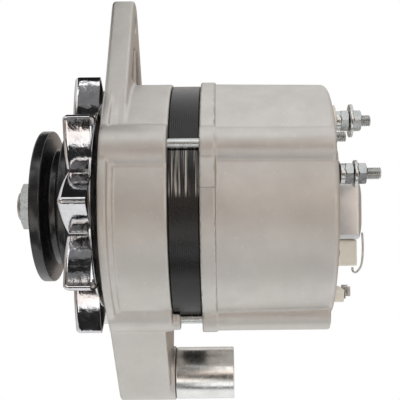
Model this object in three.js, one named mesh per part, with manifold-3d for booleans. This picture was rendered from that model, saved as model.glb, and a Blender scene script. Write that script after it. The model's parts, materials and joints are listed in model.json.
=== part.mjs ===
// Car alternator with a cast front foot and ear, a V-belt pulley and an external fan.
// Millimetres, +Z up. X runs from the pulley to the rear cover. The origin is on the axis
// of the pivot bolt, in the plane of the front bracket's front face.
import * as THREE from 'three';
import { mergeVertices } from 'three/addons/utils/BufferGeometryUtils.js';
import Module from 'manifold-3d';

const wasm = await Module();
wasm.setup();

// ---- facets round a turned shape ----
const wideSides = 36; // housings
const rimSides = 32; // pulley and fan
const midSides = 20;
const smallSides = 12;
const pinSides = 8;

// ---- clearances ----
const fitGap = 0.3; // between pieces that touch
const trackGap = 0.45; // between a ball and its track
const cutOver = 1; // how far a cutter runs past a face
const sinkIn = 1; // how far an added piece is sunk into the one that it grows from
const clearAway = 20; // how far a cutter runs past a whole end

// ---- housing ----
const coreRadius = 62.7; // outside of the laminated core
const coreShowing = 14.9; // bare core between the two brackets
const registerDepth = 4; // how far each bracket laps over the core
const registerStep = 3.2; // step turned on each end of the core
const bracketLip = 1.1; // how far the brackets stand proud of the core
const frontDepth = 31.7; // front bracket, front face to rear edge
const rearDepth = 64.9; // rear bracket, front edge to rear face
const castWall = 3.2; // cast walls of both brackets
const flangeLip = 0.9; // rim ring of the rear bracket
const flangeWidth = 7.3;
const frontFlangeLip = 3; // raised ring round the front face
const frontFlangeWidth = 4.2;
const rearTaper = 0.9; // draft of the rear bracket
const rearCorner = 3; // round of the rear rim
const rearWall = 4;
const frontWall = 4.5;
const frontStepLip = 1.2; // second, lower ring behind the front flange
const frontStepWidth = 2.4;
const sealLip = 4; // how far each hub's lip reaches in over its bearing
const windowCount = 10; // air windows in the front wall
const windowShare = 0.6; // of the pitch
const windowInside = 5; // rib left round the hub
const windowOutside = 9; // rib left inside the cavity
const ventAngles = [188, 206, 318, 336, 354, 12, 30, 48]; // rear air slots, degrees
const ventSpan = 11;
const ventInside = 3;
const ventOutside = 5;
const rearCap = 2.6; // wall that closes the rear bearing
const cavityStep = 1.8; // the lap's shoulder inside each bracket

const bracketRadius = coreRadius + bracketLip;
const registerRadius = coreRadius - registerStep;
const lapRadius = registerRadius + fitGap;
const cavityRadius = lapRadius - cavityStep;
const coreFront = frontDepth - registerDepth + fitGap;
const rearEdge = frontDepth + coreShowing;
const coreRear = rearEdge + registerDepth - fitGap;
const coreMiddle = (coreFront + coreRear) / 2;
const rearFace = rearEdge + rearDepth;

// ---- mounting lugs ----
const pivotSide = 15.8; // pivot axis, sideways from the rotor axis
const pivotDrop = 93.1; // pivot axis, below the rotor axis
const footRadius = 14.6;
const footDepth = 28;
const lugDepth = 30.5;
const footNearAngle = -143; // degrees, where the foot leaves the bracket
const footFarAngle = -42;
const bushCollarRadius = 14;
const bushShankRadius = 10;
const bushBoreRadius = 5.25;
const bushCollarLength = 31.8;
const earHeight = 96.6; // centre of the strap hole above the rotor axis
const earTipRadius = 12.4;
const earThickness = 11.4;
const earHoleRadius = 4.3;
const earWeb = 4.4; // floor left under the ear's pockets
const earRib = 3.4;
const earShoulder = 1; // plain metal at each end of the pockets

// ---- through bolts ----
const boltRadius = 2.5;
const boltAngles = [153.3, 243.3, 333.3, 63.3]; // degrees round the rotor axis
const frontBossWall = 5.9;
const rearBossWall = 3.5; // metal round each bolt
const boltHeadStep = 1.7; // head over shank
const boltHeadHeight = 4;
const boltGrip = 22; // thread length held in the front bracket
const boltRunOut = 2; // hole past the bolt's tip
const boltSocket = 4; // hexagon across its flats
const boltSocketFloor = 1.6;
const boltSink = 1.5; // heads below the rear face
const boltInset = 1.6; // how far the bolts bite into the core's outside
const bossTab = 4; // the second front boss runs on behind the bracket

const boltCircle = coreRadius + boltRadius - boltInset;
const frontBossRadius = boltRadius + frontBossWall;
const rearBossRadius = boltRadius + rearBossWall;
const boltHeadRadius = boltRadius + boltHeadStep;

// ---- rotor ----
const airGap = 0.6;
const boreRadius = 45.6; // bore of the laminated core
const poleLength = 40;
const polePlate = 9;
const poleChamfer = 3;
const fingerThickness = 7;
const polePairs = 6;
const coilRadius = 34; // floor of the notches between fingers
const coilBore = 20;
const fingerHalfAngle = 16;
const fingerRoot = 10; // half widths of a finger
const fingerTip = 4.5;
const fingerSet = 2; // how far a finger's ends stand inside the poles
const shaftCoreRadius = 8.5;
const threadStep = 0.5; // thread below the shaft
const threadRadius = shaftCoreRadius - threadStep;
const noseLength = 13.5; // shaft tip in front of the pulley
const shaftShoulder = 2.2; // collar behind the front bearing
const slipRingRadius = 13.6;
const slipRingWidth = 6.5;
const slipRingSpacing = 9;
const slotCount = 24;
const slotDepth = 8;
const slotWidth = 6;
const coilHead = 9; // winding beyond each end of the core
const coilSwell = 2.4; // how far the heads bulge
const ringGroove = 2; // depth of each slip ring's seat
const ringCollar = 1;
const ringMargin = 5; // sleeve beyond the middle of a ring
const ringOffset = 6; // sleeve from the rear pole

// ---- bearings: bore, outside, width ----
const frontBearing = { bore: shaftCoreRadius, outer: 20, width: 12, ball: 2.9, balls: 8 };
const rearBearing = { bore: 6, outer: 16, width: 10, ball: 2.4, balls: 7 };
const hubWall = 4.5;
const bearingSeat = 3; // plane of the front bearing's front side
const ballTrack = 0.9; // depth
const cageHalf = 0.8; // half thickness of a cage
const retainerThickness = 2;
const retainerReach = 2.5; // retainer over the outer race
const spacerRadius = 12;

// ---- pulley and fan ----
const pulleyRadius = 40;
const pulleyWidth = 18.2;
const pulleyFront = -37.8;
const grooveRadius = 30.5;
const grooveMouth = 8.7;
const grooveFloor = 3.4;
const pulleyWebRadius = 33;
const pulleyHubRadius = 15.5;
const pulleyFrontRim = 5.4; // rim in front of the groove
const pulleySkin = 2.4; // wall under the groove
const pulleyDish = 8; // depth of the web below the front
const pulleyDishCorner = 4;
const pulleyEdge = 0.8; // rounding of the rims
const pulleyFlare = 3;
const fanRadius = 69.7;
const fanRear = -4.9; // back of the fan's plate
const fanPlate = 1.2;
const fanDepth = 12.8;
const bladeCount = 10;
const bladePhase = 16; // degrees
const bladeRoot = 50; // radius where each folded blade leaves the plate
const bladeSlit = 0.02; // open share of the pitch at each end of a blade
const bladeSkin = 1.8; // thickness of the sloping sheet along the radius
const plateLap = 4; // plate past the blades' roots
const nutFlats = 24;
const nutHeight = 8;
const springWasherThickness = 2.6;
const springWasherRadius = 13.2;
const nutCrown = 1.2; // chamfer of the pulley nut
const nutCorner = 1.9; // its corners past its flats

// ---- rectifier and terminals ----
const plateThickness = 3;
const plateInner = 22;
const plateOuter = 52;
const plateGap = 9; // between the two plates
const plateSpan = [-58, 212]; // degrees; the plates leave room for the brush holder
const diodeRadius = 6.3;
const diodeLead = { radius: 0.9, length: 10 };
const diodeGlass = { neck: 4.2, skirt: 4.6, front: 3, back: 1 };
const plusDiodeAngles = [22, 54, 97];
const minusDiodeAngles = [-42, -10, 184];
const boardOffset = 16; // field-diode board from the inner plate
const boardThickness = 1.6;
const boardInset = 10;
const smallDiode = { radius: 2.6, height: 4, sink: 0.5, outward: 4, angles: [-26, 38, 125] };
const studRadius = 3;
const studNutFlats = 10;
const studNutHeight = 4;
const studWasher = 1.6;
const studBevel = 0.8;
const sleeveWall = 1; // of an insulator
// Each terminal: its place from the rotor axis, its insulator's flange radius and thickness,
// its washer's radius and how far its stud reaches past the rear face.
const battery = { place: [-21, 42], flange: 8, thickness: 5.3, washer: 8.4, reach: 21 };
const lamp = { place: [-40, 14.4], flange: 6.4, thickness: 4.5, washer: 6.6, reach: 22.6 };
const phase = { place: [9, 36.5], flange: 6, thickness: 3.7, reach: 13 };
const tabBlock = { y: [-29, -11], z: [-49.5, -43], thickness: 5.6 };
const tabPlate = { y: [-27, -13], z: [-48, -44], thickness: 0.8 };
const tabBlade = { sides: [-24.5, -15.5], z: [-47, -42], thickness: 0.8, length: 2.6 };

// ---- regulator ----
const brushWidth = 4.6;
const brushThickness = 6;
const brushLength = 10;
const springRoom = 6.5; // behind the brush, for its spring
const springRadius = 1.6;
const springWire = 0.25;
const springTurns = 4;
const armHalf = 7; // half width of the arm that holds the brushes
const armWall = 1.6; // closes the brush chambers below
const armClear = 9.4; // from the slip rings to the arm
const padThickness = 3.4;
const coverHalf = 13.5;
const coverBottom = -18.9;
const coverTop = 12.2;
const coverDepth = 15.5;
const raisedHeight = 11.6; // cream block below the cover
const holderLap = 0.9; // pad past the arm's underside
const leadRadius = 0.6;
const leadSide = -5; // the lead's place across the cover
const coverCorner = 3;
const coverSkin = 1.2;
const coverSteps = [{ inset: 2.5, below: 3.5 }, { inset: 5.5, below: 1.2 }]; // its domed back
const raisedHalf = 10;
const bridgeHalf = 4.5;
const screwPlaces = [[-19, -25], [19, -25]];
const screwRadius = 2;
const screwHead = { radius: 4, top: 2.6, skirt: 1.4, height: 2.4 };

// ---------- geometry helpers ----------

const radians = THREE.MathUtils.degToRad;

// A closed three.js geometry as a solid, with its faces pointing out.
function solidOf(geometry) {
  const bare = geometry.index ? geometry.toNonIndexed() : geometry;
  bare.deleteAttribute('normal');
  bare.deleteAttribute('uv');
  const merged = mergeVertices(bare, 1e-4);
  const place = merged.attributes.position;
  const index = merged.index.array;
  const kept = [];
  let volume = 0;
  for (let i = 0; i < index.length; i += 3) {
    const [a, b, c] = [index[i], index[i + 1], index[i + 2]];
    if (a === b || b === c || c === a) continue;
    kept.push(a, b, c);
    const [p, q, r] = [a, b, c].map((n) => new THREE.Vector3().fromBufferAttribute(place, n));
    volume += p.dot(q.cross(r));
  }
  if (volume < 0) {
    for (let i = 0; i < kept.length; i += 3) [kept[i], kept[i + 1]] = [kept[i + 1], kept[i]];
  }
  return new wasm.Manifold(new wasm.Mesh({
    numProp: 3,
    vertProperties: new Float32Array(place.array),
    triVerts: new Uint32Array(kept),
  }));
}

function geometryOf(solid) {
  const mesh = solid.getMesh();
  const geometry = new THREE.BufferGeometry();
  geometry.setAttribute('position', new THREE.BufferAttribute(mesh.vertProperties, 3));
  geometry.setIndex(new THREE.BufferAttribute(mesh.triVerts, 1));
  return geometry;
}

const join = (...solids) => solids.flat().reduce((sum, next) => sum.add(next));
const cut = (solid, ...cutters) => cutters.flat().reduce((rest, next) => rest.subtract(next), solid);

// A profile of [x, radius] points turned about the X axis. It closes on itself.
function turned(profile, sides = wideSides) {
  const ring = [...profile, profile[0]].map(([x, r]) => new THREE.Vector2(r, x));
  return solidOf(new THREE.LatheGeometry(ring, sides).rotateZ(-Math.PI / 2));
}

// A tube or bar along X between two planes, moved sideways to y, z.
function tube(x0, x1, outer, inner, sides = midSides, y = 0, z = 0) {
  const profile = [[x0, inner], [x0, outer], [x1, outer], [x1, inner]];
  return turned(profile, sides).translate([0, y, z]);
}

const bar = (x0, x1, radius, sides = midSides, y = 0, z = 0) => tube(x0, x1, radius, 0, sides, y, z);

// An outline in the Y-Z plane, extruded along X.
function slab(shape, x0, x1, steps = 6) {
  const settings = { depth: x1 - x0, bevelEnabled: false, curveSegments: steps };
  const turn = new THREE.Matrix4().set(0, 0, 1, x0, 1, 0, 0, 0, 0, 1, 0, 0, 0, 0, 0, 1);
  return solidOf(new THREE.ExtrudeGeometry(shape, settings).applyMatrix4(turn));
}

const outline = (points) => new THREE.Shape(points.map(([y, z]) => new THREE.Vector2(y, z)));

function block(x0, x1, y0, y1, z0, z1) {
  const box = new THREE.BoxGeometry(x1 - x0, y1 - y0, z1 - z0);
  return solidOf(box.translate((x0 + x1) / 2, (y0 + y1) / 2, (z0 + z1) / 2));
}

// A hexagon across its flats, along X.
const hexBar = (x0, x1, flats, y = 0, z = 0) =>
  turned([[x0, 0], [x0, flats / Math.sqrt(3)], [x1, flats / Math.sqrt(3)], [x1, 0]], 6)
    .translate([0, y, z]);

const polar = (radius, degrees) =>
  [radius * Math.cos(radians(degrees)), radius * Math.sin(radians(degrees))];

// Turns a solid about the rotor axis.
const swung = (solid, degrees) => solid.rotate([degrees, 0, 0]);

// A flat sector of a ring, in the Y-Z plane, between two angles.
function sector(inner, outer, from, to, steps = 12) {
  const points = [];
  for (let i = 0; i <= steps; i += 1) points.push(polar(outer, from + ((to - from) * i) / steps));
  for (let i = steps; i >= 0; i -= 1) points.push(polar(inner, from + ((to - from) * i) / steps));
  return outline(points);
}

// The outline round two circles and the lines that touch both.
function strapOutline(y0, z0, r0, y1, z1, r1) {
  const between = Math.atan2(z1 - z0, y1 - y0);
  const lean = Math.acos((r0 - r1) / Math.hypot(y1 - y0, z1 - z0));
  const shape = new THREE.Shape();
  shape.absarc(y1, z1, r1, between - lean, between + lean, false);
  shape.lineTo(y0 + r0 * Math.cos(between + lean), z0 + r0 * Math.sin(between + lean));
  shape.lineTo(y0, z0);
  shape.lineTo(y0 + r0 * Math.cos(between - lean), z0 + r0 * Math.sin(between - lean));
  return shape;
}

const bolts = boltAngles.map((angle) => polar(boltCircle, angle));

// ---------- front bracket ----------

function footOutline() {
  const shape = new THREE.Shape();
  const near = polar(bracketRadius - sinkIn, footNearAngle);
  const far = polar(bracketRadius - sinkIn, footFarAngle);
  const sides = [near, far].map(([y, z], i) => {
    const away = Math.atan2(z + pivotDrop, y - pivotSide);
    const lean = Math.acos(footRadius / Math.hypot(y - pivotSide, z + pivotDrop));
    return i === 0 ? away + lean : away - lean;
  });
  shape.moveTo(0, -bracketRadius / 2);
  shape.lineTo(near[0], near[1]);
  shape.absarc(pivotSide, -pivotDrop, footRadius, sides[0], sides[1] + 2 * Math.PI, false);
  shape.lineTo(far[0], far[1]);
  return shape;
}

function earSolid() {
  const plate = slab(
    strapOutline(0, 0, bracketRadius - sinkIn, 0, earHeight, earTipRadius), 0, earThickness, 10);
  const low = bracketRadius + earShoulder;
  const top = earHeight - earTipRadius - earShoulder;
  const wide = 2 * earTipRadius;
  const pocket = [1, -1].map((side) => slab(outline([
    [side * earRib / 2, low], [side * (wide - earRib), low], [side * (earTipRadius - earRib), top],
    [side * earRib / 2, top],
  ]), earWeb, earThickness + cutOver));
  const hole = bar(-cutOver, earThickness + cutOver, earHoleRadius, smallSides, 0, earHeight);
  return { plate, cutters: [...pocket, hole] };
}

function frontBracket() {
  const hub = frontBearing.outer + hubWall;
  const pocketRadius = frontBearing.outer + fitGap;
  const pocketEnd = bearingSeat + frontBearing.width + fitGap;
  const rim = bracketRadius + frontFlangeLip;
  const flangeChamfer = 1;
  const stepEnd = frontFlangeWidth + frontStepWidth;
  const shell = turned([
    [0, pocketRadius - sealLip], [0, rim - flangeChamfer], [flangeChamfer, rim],
    [frontFlangeWidth, rim], [frontFlangeWidth, bracketRadius + frontStepLip],
    [stepEnd, bracketRadius + frontStepLip], [stepEnd, bracketRadius], [frontDepth, bracketRadius],
    [frontDepth, lapRadius], [frontDepth - registerDepth, lapRadius],
    [frontDepth - registerDepth, cavityRadius], [frontWall, cavityRadius], [frontWall, hub],
    [pocketEnd, hub], [pocketEnd, pocketRadius], [bearingSeat - fitGap, pocketRadius],
    [bearingSeat - fitGap, pocketRadius - sealLip],
  ], wideSides);
  const keepOut = join(bar(frontWall, frontDepth + clearAway, cavityRadius, wideSides),
    bar(-cutOver, frontWall + cutOver, hub - sinkIn, wideSides));
  const bossStart = 0.5;
  const bosses = bolts.map(([y, z], i) =>
    bar(bossStart, frontDepth + (i === 1 ? bossTab : 0), frontBossRadius, smallSides, y, z));
  const lap = bar(frontDepth - registerDepth, frontDepth + clearAway, coreRadius + fitGap, wideSides);
  const ear = earSolid();
  const foot = join(slab(footOutline(), 0, footDepth, 8),
    bar(footDepth - sinkIn, lugDepth, footRadius, midSides, pivotSide, -pivotDrop));
  const outside = cut(join(bosses, ear.plate, foot), keepOut, lap);
  const windows = Array.from({ length: windowCount }, (_, i) => {
    const from = (360 * (i + (1 - windowShare) / 2)) / windowCount;
    const to = from + (360 * windowShare) / windowCount;
    return slab(sector(hub + windowInside, cavityRadius - windowOutside, from, to, 2), -cutOver,
      frontWall + cutOver);
  });
  const boltHoles = bolts.map(([y, z]) =>
    bar(frontDepth - boltGrip - boltRunOut, frontDepth + clearAway, boltRadius + fitGap, pinSides, y, z));
  const bushHole = bar(-cutOver, lugDepth + cutOver, bushShankRadius + fitGap, midSides,
    pivotSide, -pivotDrop);
  return cut(join(shell, outside), windows, boltHoles, bushHole, ear.cutters);
}

// ---------- rear bracket ----------

const rearInner = rearFace - rearWall; // inside of the rear wall
const brushMiddle = -slipRingRadius - fitGap - brushLength / 2;
const chamberEnd = brushMiddle - brushLength / 2 - springRoom;
const armLow = chamberEnd - armWall;
const armHigh = -slipRingRadius - armClear;
const holderBottom = armLow - holderLap;
const rearSeat = rearInner + 1; // plane of the rear bearing's rear side
const rearPocket = rearSeat - rearBearing.width; // mouth of the rear bearing's pocket
const sleeveRadius = studRadius + fitGap + sleeveWall; // insulating sleeve round a terminal stud

function rearBracket() {
  const rim = bracketRadius + flangeLip;
  const tail = bracketRadius - rearTaper;
  const hub = rearBearing.outer + hubWall;
  const flangeSlope = 0.4;
  const corner = [30, 60].map((angle) => [
    rearFace - rearCorner + rearCorner * Math.sin(radians(angle)),
    tail - rearCorner + rearCorner * Math.cos(radians(angle)),
  ]);
  const shell = turned([
    [rearEdge, lapRadius], [rearEdge, rim], [rearEdge + flangeWidth, rim],
    [rearEdge + flangeWidth + flangeSlope, bracketRadius], [rearFace - rearCorner, tail], ...corner,
    [rearFace, tail - rearCorner], [rearFace, 0], [rearFace - rearCap, 0],
    [rearFace - rearCap, rearBearing.outer - sealLip], [rearSeat + fitGap, rearBearing.outer - sealLip],
    [rearSeat + fitGap, rearBearing.outer + fitGap], [rearPocket, rearBearing.outer + fitGap],
    [rearPocket, hub], [rearInner, hub], [rearInner, tail - castWall],
    [rearEdge + registerDepth, cavityRadius], [rearEdge + registerDepth, lapRadius],
  ], wideSides);
  const keepOut = turned([
    [rearEdge - cutOver, 0], [rearEdge - cutOver, cavityRadius],
    [rearEdge + registerDepth, cavityRadius], [rearInner, tail - castWall], [rearInner, 0],
  ], wideSides);
  const lap = bar(rearEdge - cutOver, rearEdge + registerDepth, lapRadius, wideSides);
  const bosses = cut(join(bolts.map(([y, z]) =>
    bar(rearEdge, rearFace - boltSink, rearBossRadius, smallSides, y, z))), keepOut, lap);
  const boltHoles = bolts.flatMap(([y, z]) => [
    bar(rearEdge - cutOver, rearFace, boltRadius + fitGap, pinSides, y, z),
    bar(rearFace - boltHeadHeight - boltSink, rearFace + cutOver, boltHeadRadius + fitGap, pinSides,
      y, z),
  ]);
  const studHoles = [battery, lamp, phase].map(({ place: [y, z] }) =>
    bar(rearInner - cutOver, rearFace + cutOver, sleeveRadius + 2 * fitGap, pinSides, y, z));
  const window = block(rearInner - cutOver, rearFace + cutOver, -armHalf - 2 * fitGap,
    armHalf + 2 * fitGap, armLow - 2 * fitGap, armHigh + 2 * fitGap);
  const screwHoles = screwPlaces.map(([y, z]) =>
    bar(rearInner - cutOver, rearFace + cutOver, screwRadius + fitGap, pinSides, y, z));
  const vents = ventAngles.map((angle) =>
    slab(sector(hub + ventInside, tail - castWall - ventOutside, angle, angle + ventSpan, 2),
      rearInner - cutOver, rearFace + cutOver));
  return cut(join(shell, bosses), boltHoles, studHoles, window, screwHoles, vents);
}

// ---------- stator ----------

function statorCore() {
  const inner = boreRadius;
  const ring = turned([
    [coreFront, inner], [coreFront, registerRadius], [frontDepth + fitGap, registerRadius],
    [frontDepth + fitGap, coreRadius], [rearEdge - fitGap, coreRadius],
    [rearEdge - fitGap, registerRadius], [coreRear, registerRadius], [coreRear, inner],
  ], wideSides);
  const slots = Array.from({ length: slotCount }, (_, i) => swung(
    block(coreFront - cutOver, coreRear + cutOver, inner - cutOver, inner + slotDepth,
      -slotWidth / 2, slotWidth / 2), (360 * (i + 0.5)) / slotCount));
  const grooves = bolts.map(([y, z]) =>
    bar(frontDepth, rearEdge, boltRadius + 2 * fitGap, pinSides, y, z));
  return cut(ring, join(slots), grooves);
}

function statorWinding() {
  const inner = boreRadius + 2 * airGap;
  const outer = boreRadius + slotDepth - fitGap;
  const half = slotWidth / 2 - fitGap;
  const ends = [[coreFront - coilHead, coreFront - fitGap], [coreRear + fitGap, coreRear + coilHead]]
    .map(([x0, x1]) => turned([
      [x0, inner + 1], [x0, outer + 1], [(x0 + x1) / 2, outer + coilSwell], [x1, outer],
      [x1, inner],
    ], slotCount));
  const bars = Array.from({ length: slotCount }, (_, i) => swung(
    block(coreFront - sinkIn, coreRear + sinkIn, inner, outer, -half, half),
    (360 * (i + 0.5)) / slotCount));
  return join(ends, bars);
}

// ---------- rotor ----------

const poleFront = coreMiddle - poleLength / 2;
const poleRear = coreMiddle + poleLength / 2;
const poleRadius = boreRadius - airGap;
const shaftEnd = rearSeat - fitGap;
const frontShoulder = bearingSeat + frontBearing.width + fitGap;
const rearShoulder = rearPocket - fitGap;

function rotorShaft() {
  const tip = pulleyFront - noseLength;
  const bevel = 1.4;
  const collarEnd = poleFront - 1;
  return turned([
    [tip, 0], [tip, threadRadius - bevel], [tip + bevel, threadRadius],
    [pulleyFront, threadRadius], [pulleyFront, shaftCoreRadius - fitGap],
    [frontShoulder, shaftCoreRadius - fitGap], [frontShoulder, shaftCoreRadius + shaftShoulder],
    [collarEnd, shaftCoreRadius + shaftShoulder], [collarEnd, shaftCoreRadius],
    [rearShoulder, shaftCoreRadius],
    [rearShoulder, rearBearing.bore - fitGap], [shaftEnd, rearBearing.bore - fitGap], [shaftEnd, 0],
  ], smallSides);
}

// One half of the claw rotor. Its fingers reach over the coil towards the other half.
function clawHalf(facing, turn) {
  const plateEdge = facing > 0 ? poleFront : poleRear;
  const at = (along) => plateEdge + facing * along;
  const coreEnd = poleLength / 2 - fitGap / 2;
  const disc = turned([
    [at(0), shaftCoreRadius + fitGap], [at(0), poleRadius - poleChamfer], [at(poleChamfer), poleRadius],
    [at(polePlate), poleRadius], [at(polePlate), coilBore], [at(coreEnd), coilBore],
    [at(coreEnd), shaftCoreRadius + fitGap],
  ], midSides);
  const ends = [at(-cutOver), at(polePlate + cutOver)].sort((a, b) => a - b);
  const notches = Array.from({ length: polePairs }, (_, i) => {
    const start = (360 * i) / polePairs + fingerHalfAngle;
    const stop = (360 * (i + 1)) / polePairs - fingerHalfAngle;
    return slab(sector(coilRadius, poleRadius + cutOver, start, stop, 4), ...ends);
  });
  const taper = new THREE.Shape([[fingerSet, -fingerRoot], [poleLength - fingerSet, -fingerTip],
    [poleLength - fingerSet, fingerTip], [fingerSet, fingerRoot]]
    .map(([along, side]) => new THREE.Vector2(at(along), side)));
  const spare = 3; // stock above and below each finger, trimmed by the sleeve
  const settings = { depth: fingerThickness + 2 * spare, bevelEnabled: false };
  const flat = solidOf(new THREE.ExtrudeGeometry(taper, settings))
    .translate([0, 0, poleRadius - fingerThickness - spare]).rotate([-90, 0, 0]);
  const sleeve = tube(Math.min(at(0), at(poleLength)), Math.max(at(0), at(poleLength)),
    poleRadius, poleRadius - fingerThickness, midSides);
  const fingers = Array.from({ length: polePairs }, (_, i) =>
    swung(flat, (360 * i) / polePairs));
  return swung(join(cut(disc, notches), join(fingers).intersect(sleeve)), turn);
}

const fieldCoil = () =>
  tube(poleFront + polePlate + 1, poleRear - polePlate - 1, poleRadius - fingerThickness - 1,
    coilBore + 2 * fitGap, midSides);

const ringStart = poleRear + ringOffset; // front edge of the slip-ring sleeve
const ringMiddles = [0, 1].map((i) => ringStart + ringMargin + i * slipRingSpacing);
const ringSleeveEnd = ringMiddles[1] + ringMargin;

// The insulating sleeve has a collar between and beside the two rings.
function slipRingSleeve() {
  const low = slipRingRadius - ringGroove;
  const high = slipRingRadius + ringCollar;
  const half = slipRingWidth / 2 + fitGap;
  const profile = [[ringStart, shaftCoreRadius + fitGap], [ringStart, high]];
  for (const middle of ringMiddles) {
    profile.push([middle - half, high], [middle - half, low], [middle + half, low],
      [middle + half, high]);
  }
  profile.push([ringSleeveEnd, high], [ringSleeveEnd, shaftCoreRadius + fitGap]);
  return turned(profile, smallSides);
}

const slipRing = (i) => tube(ringMiddles[i] - slipRingWidth / 2, ringMiddles[i] + slipRingWidth / 2,
  slipRingRadius, slipRingRadius - ringGroove + fitGap, midSides);

// ---------- ball bearings ----------

function bearingParts(size, start) {
  const { bore, outer, width, ball, balls } = size;
  const middle = start + width / 2;
  const pitch = (bore + outer) / 2;
  const reach = Math.sqrt(ball ** 2 - (ball - ballTrack) ** 2); // half width of a track
  const outside = pitch + ball - ballTrack + trackGap;
  const inside = pitch - ball + ballTrack - trackGap;
  const end = start + width;
  const outerRace = turned([
    [start, outside], [start, outer], [end, outer], [end, outside], [middle + reach, outside],
    [middle, outside + ballTrack], [middle - reach, outside],
  ], midSides);
  const innerRace = turned([
    [start, bore], [start, inside], [middle - reach, inside], [middle, inside - ballTrack],
    [middle + reach, inside], [end, inside], [end, bore],
  ], midSides);
  const half = ball * 0.6; // the cage is narrower than its balls
  const ring = tube(middle - half, middle + half, pitch + cageHalf, pitch - cageHalf, smallSides);
  const row = Array.from({ length: balls }, (_, i) => {
    const [y, z] = polar(pitch, (360 * i) / balls);
    return solidOf(new THREE.SphereGeometry(ball, 6, 4)).translate([middle, y, z]);
  });
  return { outerRace, innerRace, cage: join(ring, row) };
}

// ---------- pulley and fan ----------

const pulleyRear = pulleyFront + pulleyWidth;

// A dished steel pulley: its hub is short, and its web stands at the back of the rim.
function pulley() {
  const bore = shaftCoreRadius;
  const grooveMiddle = pulleyFront + pulleyFrontRim + grooveMouth / 2;
  const webFront = pulleyFront + pulleyDish;
  const hubEnd = fanRear - fanPlate - fitGap;
  const lip = pulleyRadius - pulleyEdge;
  return turned([
    [pulleyFront, bore], [pulleyFront, pulleyHubRadius], [webFront, pulleyHubRadius + 1],
    [webFront, grooveRadius - pulleySkin - pulleyDishCorner], [pulleyFront + 1, pulleyWebRadius],
    [pulleyFront, pulleyRadius - pulleyFlare], [pulleyFront + pulleyEdge / 2, lip],
    [pulleyFront + 2 * pulleyEdge, pulleyRadius], [grooveMiddle - grooveMouth / 2, pulleyRadius],
    [grooveMiddle - grooveFloor / 2, grooveRadius], [grooveMiddle + grooveFloor / 2, grooveRadius],
    [grooveMiddle + grooveMouth / 2, pulleyRadius], [pulleyRear - pulleyEdge, pulleyRadius],
    [pulleyRear, lip], [pulleyRear, pulleyHubRadius], [hubEnd, pulleyHubRadius],
    [hubEnd, bore],
  ], rimSides);
}

// The fan is one pressing: a flat plate whose edge is cut and folded up into scoops.
function fan() {
  const front = fanRear - fanDepth;
  const plateFront = fanRear - fanPlate;
  const plate = turned([
    [fanRear, shaftCoreRadius], [plateFront, shaftCoreRadius], [plateFront, bladeRoot + plateLap],
    [fanRear, bladeRoot + plateLap],
  ], rimSides);
  const fold = [[bladeRoot, bladeSlit], [fanRadius, 0.5], [bladeRoot, 1 - bladeSlit]];
  const skin = [...fold, ...fold.toReversed().map(([r, share]) => [r - bladeSkin, share])];
  const corner = (i) => ([r, share]) => polar(r, (360 / bladeCount) * (i + share) + bladePhase);
  const blades = Array.from({ length: bladeCount }, (_, i) =>
    slab(outline(skin.map(corner(i))), front, fanRear));
  return join(plate, blades);
}

// ---------- rectifier ----------

const minusPlateEnd = rearInner - fitGap;
const minusPlateStart = minusPlateEnd - plateThickness;
const plusPlateStart = minusPlateStart - plateGap;
const boardStart = plusPlateStart - boardOffset;
const diodeCircle = (plateInner + plateOuter) / 2;

function heatSink(start, diodeAngles, clearances) {
  const plate = slab(sector(plateInner, plateOuter, ...plateSpan, 14), start, start + plateThickness);
  const seats = diodeAngles.map((angle) => {
    const [y, z] = polar(diodeCircle, angle);
    return bar(start - cutOver, start + plateThickness + cutOver, diodeRadius + fitGap, pinSides, y, z);
  });
  const holes = clearances.map(([y, z, radius]) =>
    bar(start - cutOver, start + plateThickness + cutOver, radius, pinSides, y, z));
  return cut(plate, seats, holes);
}

function diode(angle, start) {
  const [y, z] = polar(diodeCircle, angle);
  const tip = start - diodeLead.length;
  const { neck, skirt } = diodeGlass;
  const shoulder = start - diodeGlass.back;
  return turned([
    [tip, 0], [tip, diodeLead.radius], [start - diodeGlass.front - 1, diodeLead.radius],
    [start - diodeGlass.front, neck], [shoulder, skirt], [shoulder, diodeRadius],
    [start + plateThickness, diodeRadius], [start + plateThickness, 0],
  ], pinSides).translate([0, y, z]);
}

// The field-diode board is a plastic ring sector with three small diodes on it.
function exciterBoard() {
  const board = slab(sector(plateInner + boardInset, plateOuter - 1, ...plateSpan, 14), boardStart,
    boardStart + boardThickness);
  const { radius, height, sink, outward, angles } = smallDiode;
  const small = angles.map((angle) => {
    const [y, z] = polar(diodeCircle + outward, angle);
    return bar(boardStart - height, boardStart + sink, radius, pinSides, y, z);
  });
  return join(board, small);
}

// ---------- terminals ----------

// A terminal stud from a plate inside the housing out through the rear wall.
function stud({ place, reach }, from) {
  const to = rearFace + reach;
  return turned([
    [from, 0], [from, studRadius], [to - studBevel, studRadius], [to, studRadius - studBevel],
    [to, 0],
  ], pinSides).translate([0, ...place]);
}

// A shouldered insulator: a sleeve in the wall's hole and a flange on the outside.
function bushing({ place, flange, thickness }) {
  const bore = studRadius + fitGap;
  return turned([
    [rearInner + fitGap, bore], [rearInner + fitGap, sleeveRadius],
    [rearFace + fitGap, sleeveRadius],
    [rearFace + fitGap, flange], [rearFace + fitGap + thickness, flange],
    [rearFace + fitGap + thickness, bore],
  ], smallSides).translate([0, ...place]);
}

// Where the two nuts and the washer of a terminal start, from its insulator outwards.
function stackStarts({ thickness }) {
  const inner = rearFace + thickness + 2 * fitGap;
  const ring = inner + studNutHeight + fitGap;
  return { inner, ring, outer: ring + studWasher + fitGap };
}

const nut = (place, start) =>
  cut(hexBar(start, start + studNutHeight, studNutFlats, ...place),
    bar(start - cutOver, start + studNutHeight + cutOver, studRadius + fitGap, pinSides, ...place));

const washer = (place, start, radius) =>
  tube(start, start + studWasher, radius, studRadius + fitGap, smallSides, ...place);

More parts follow.
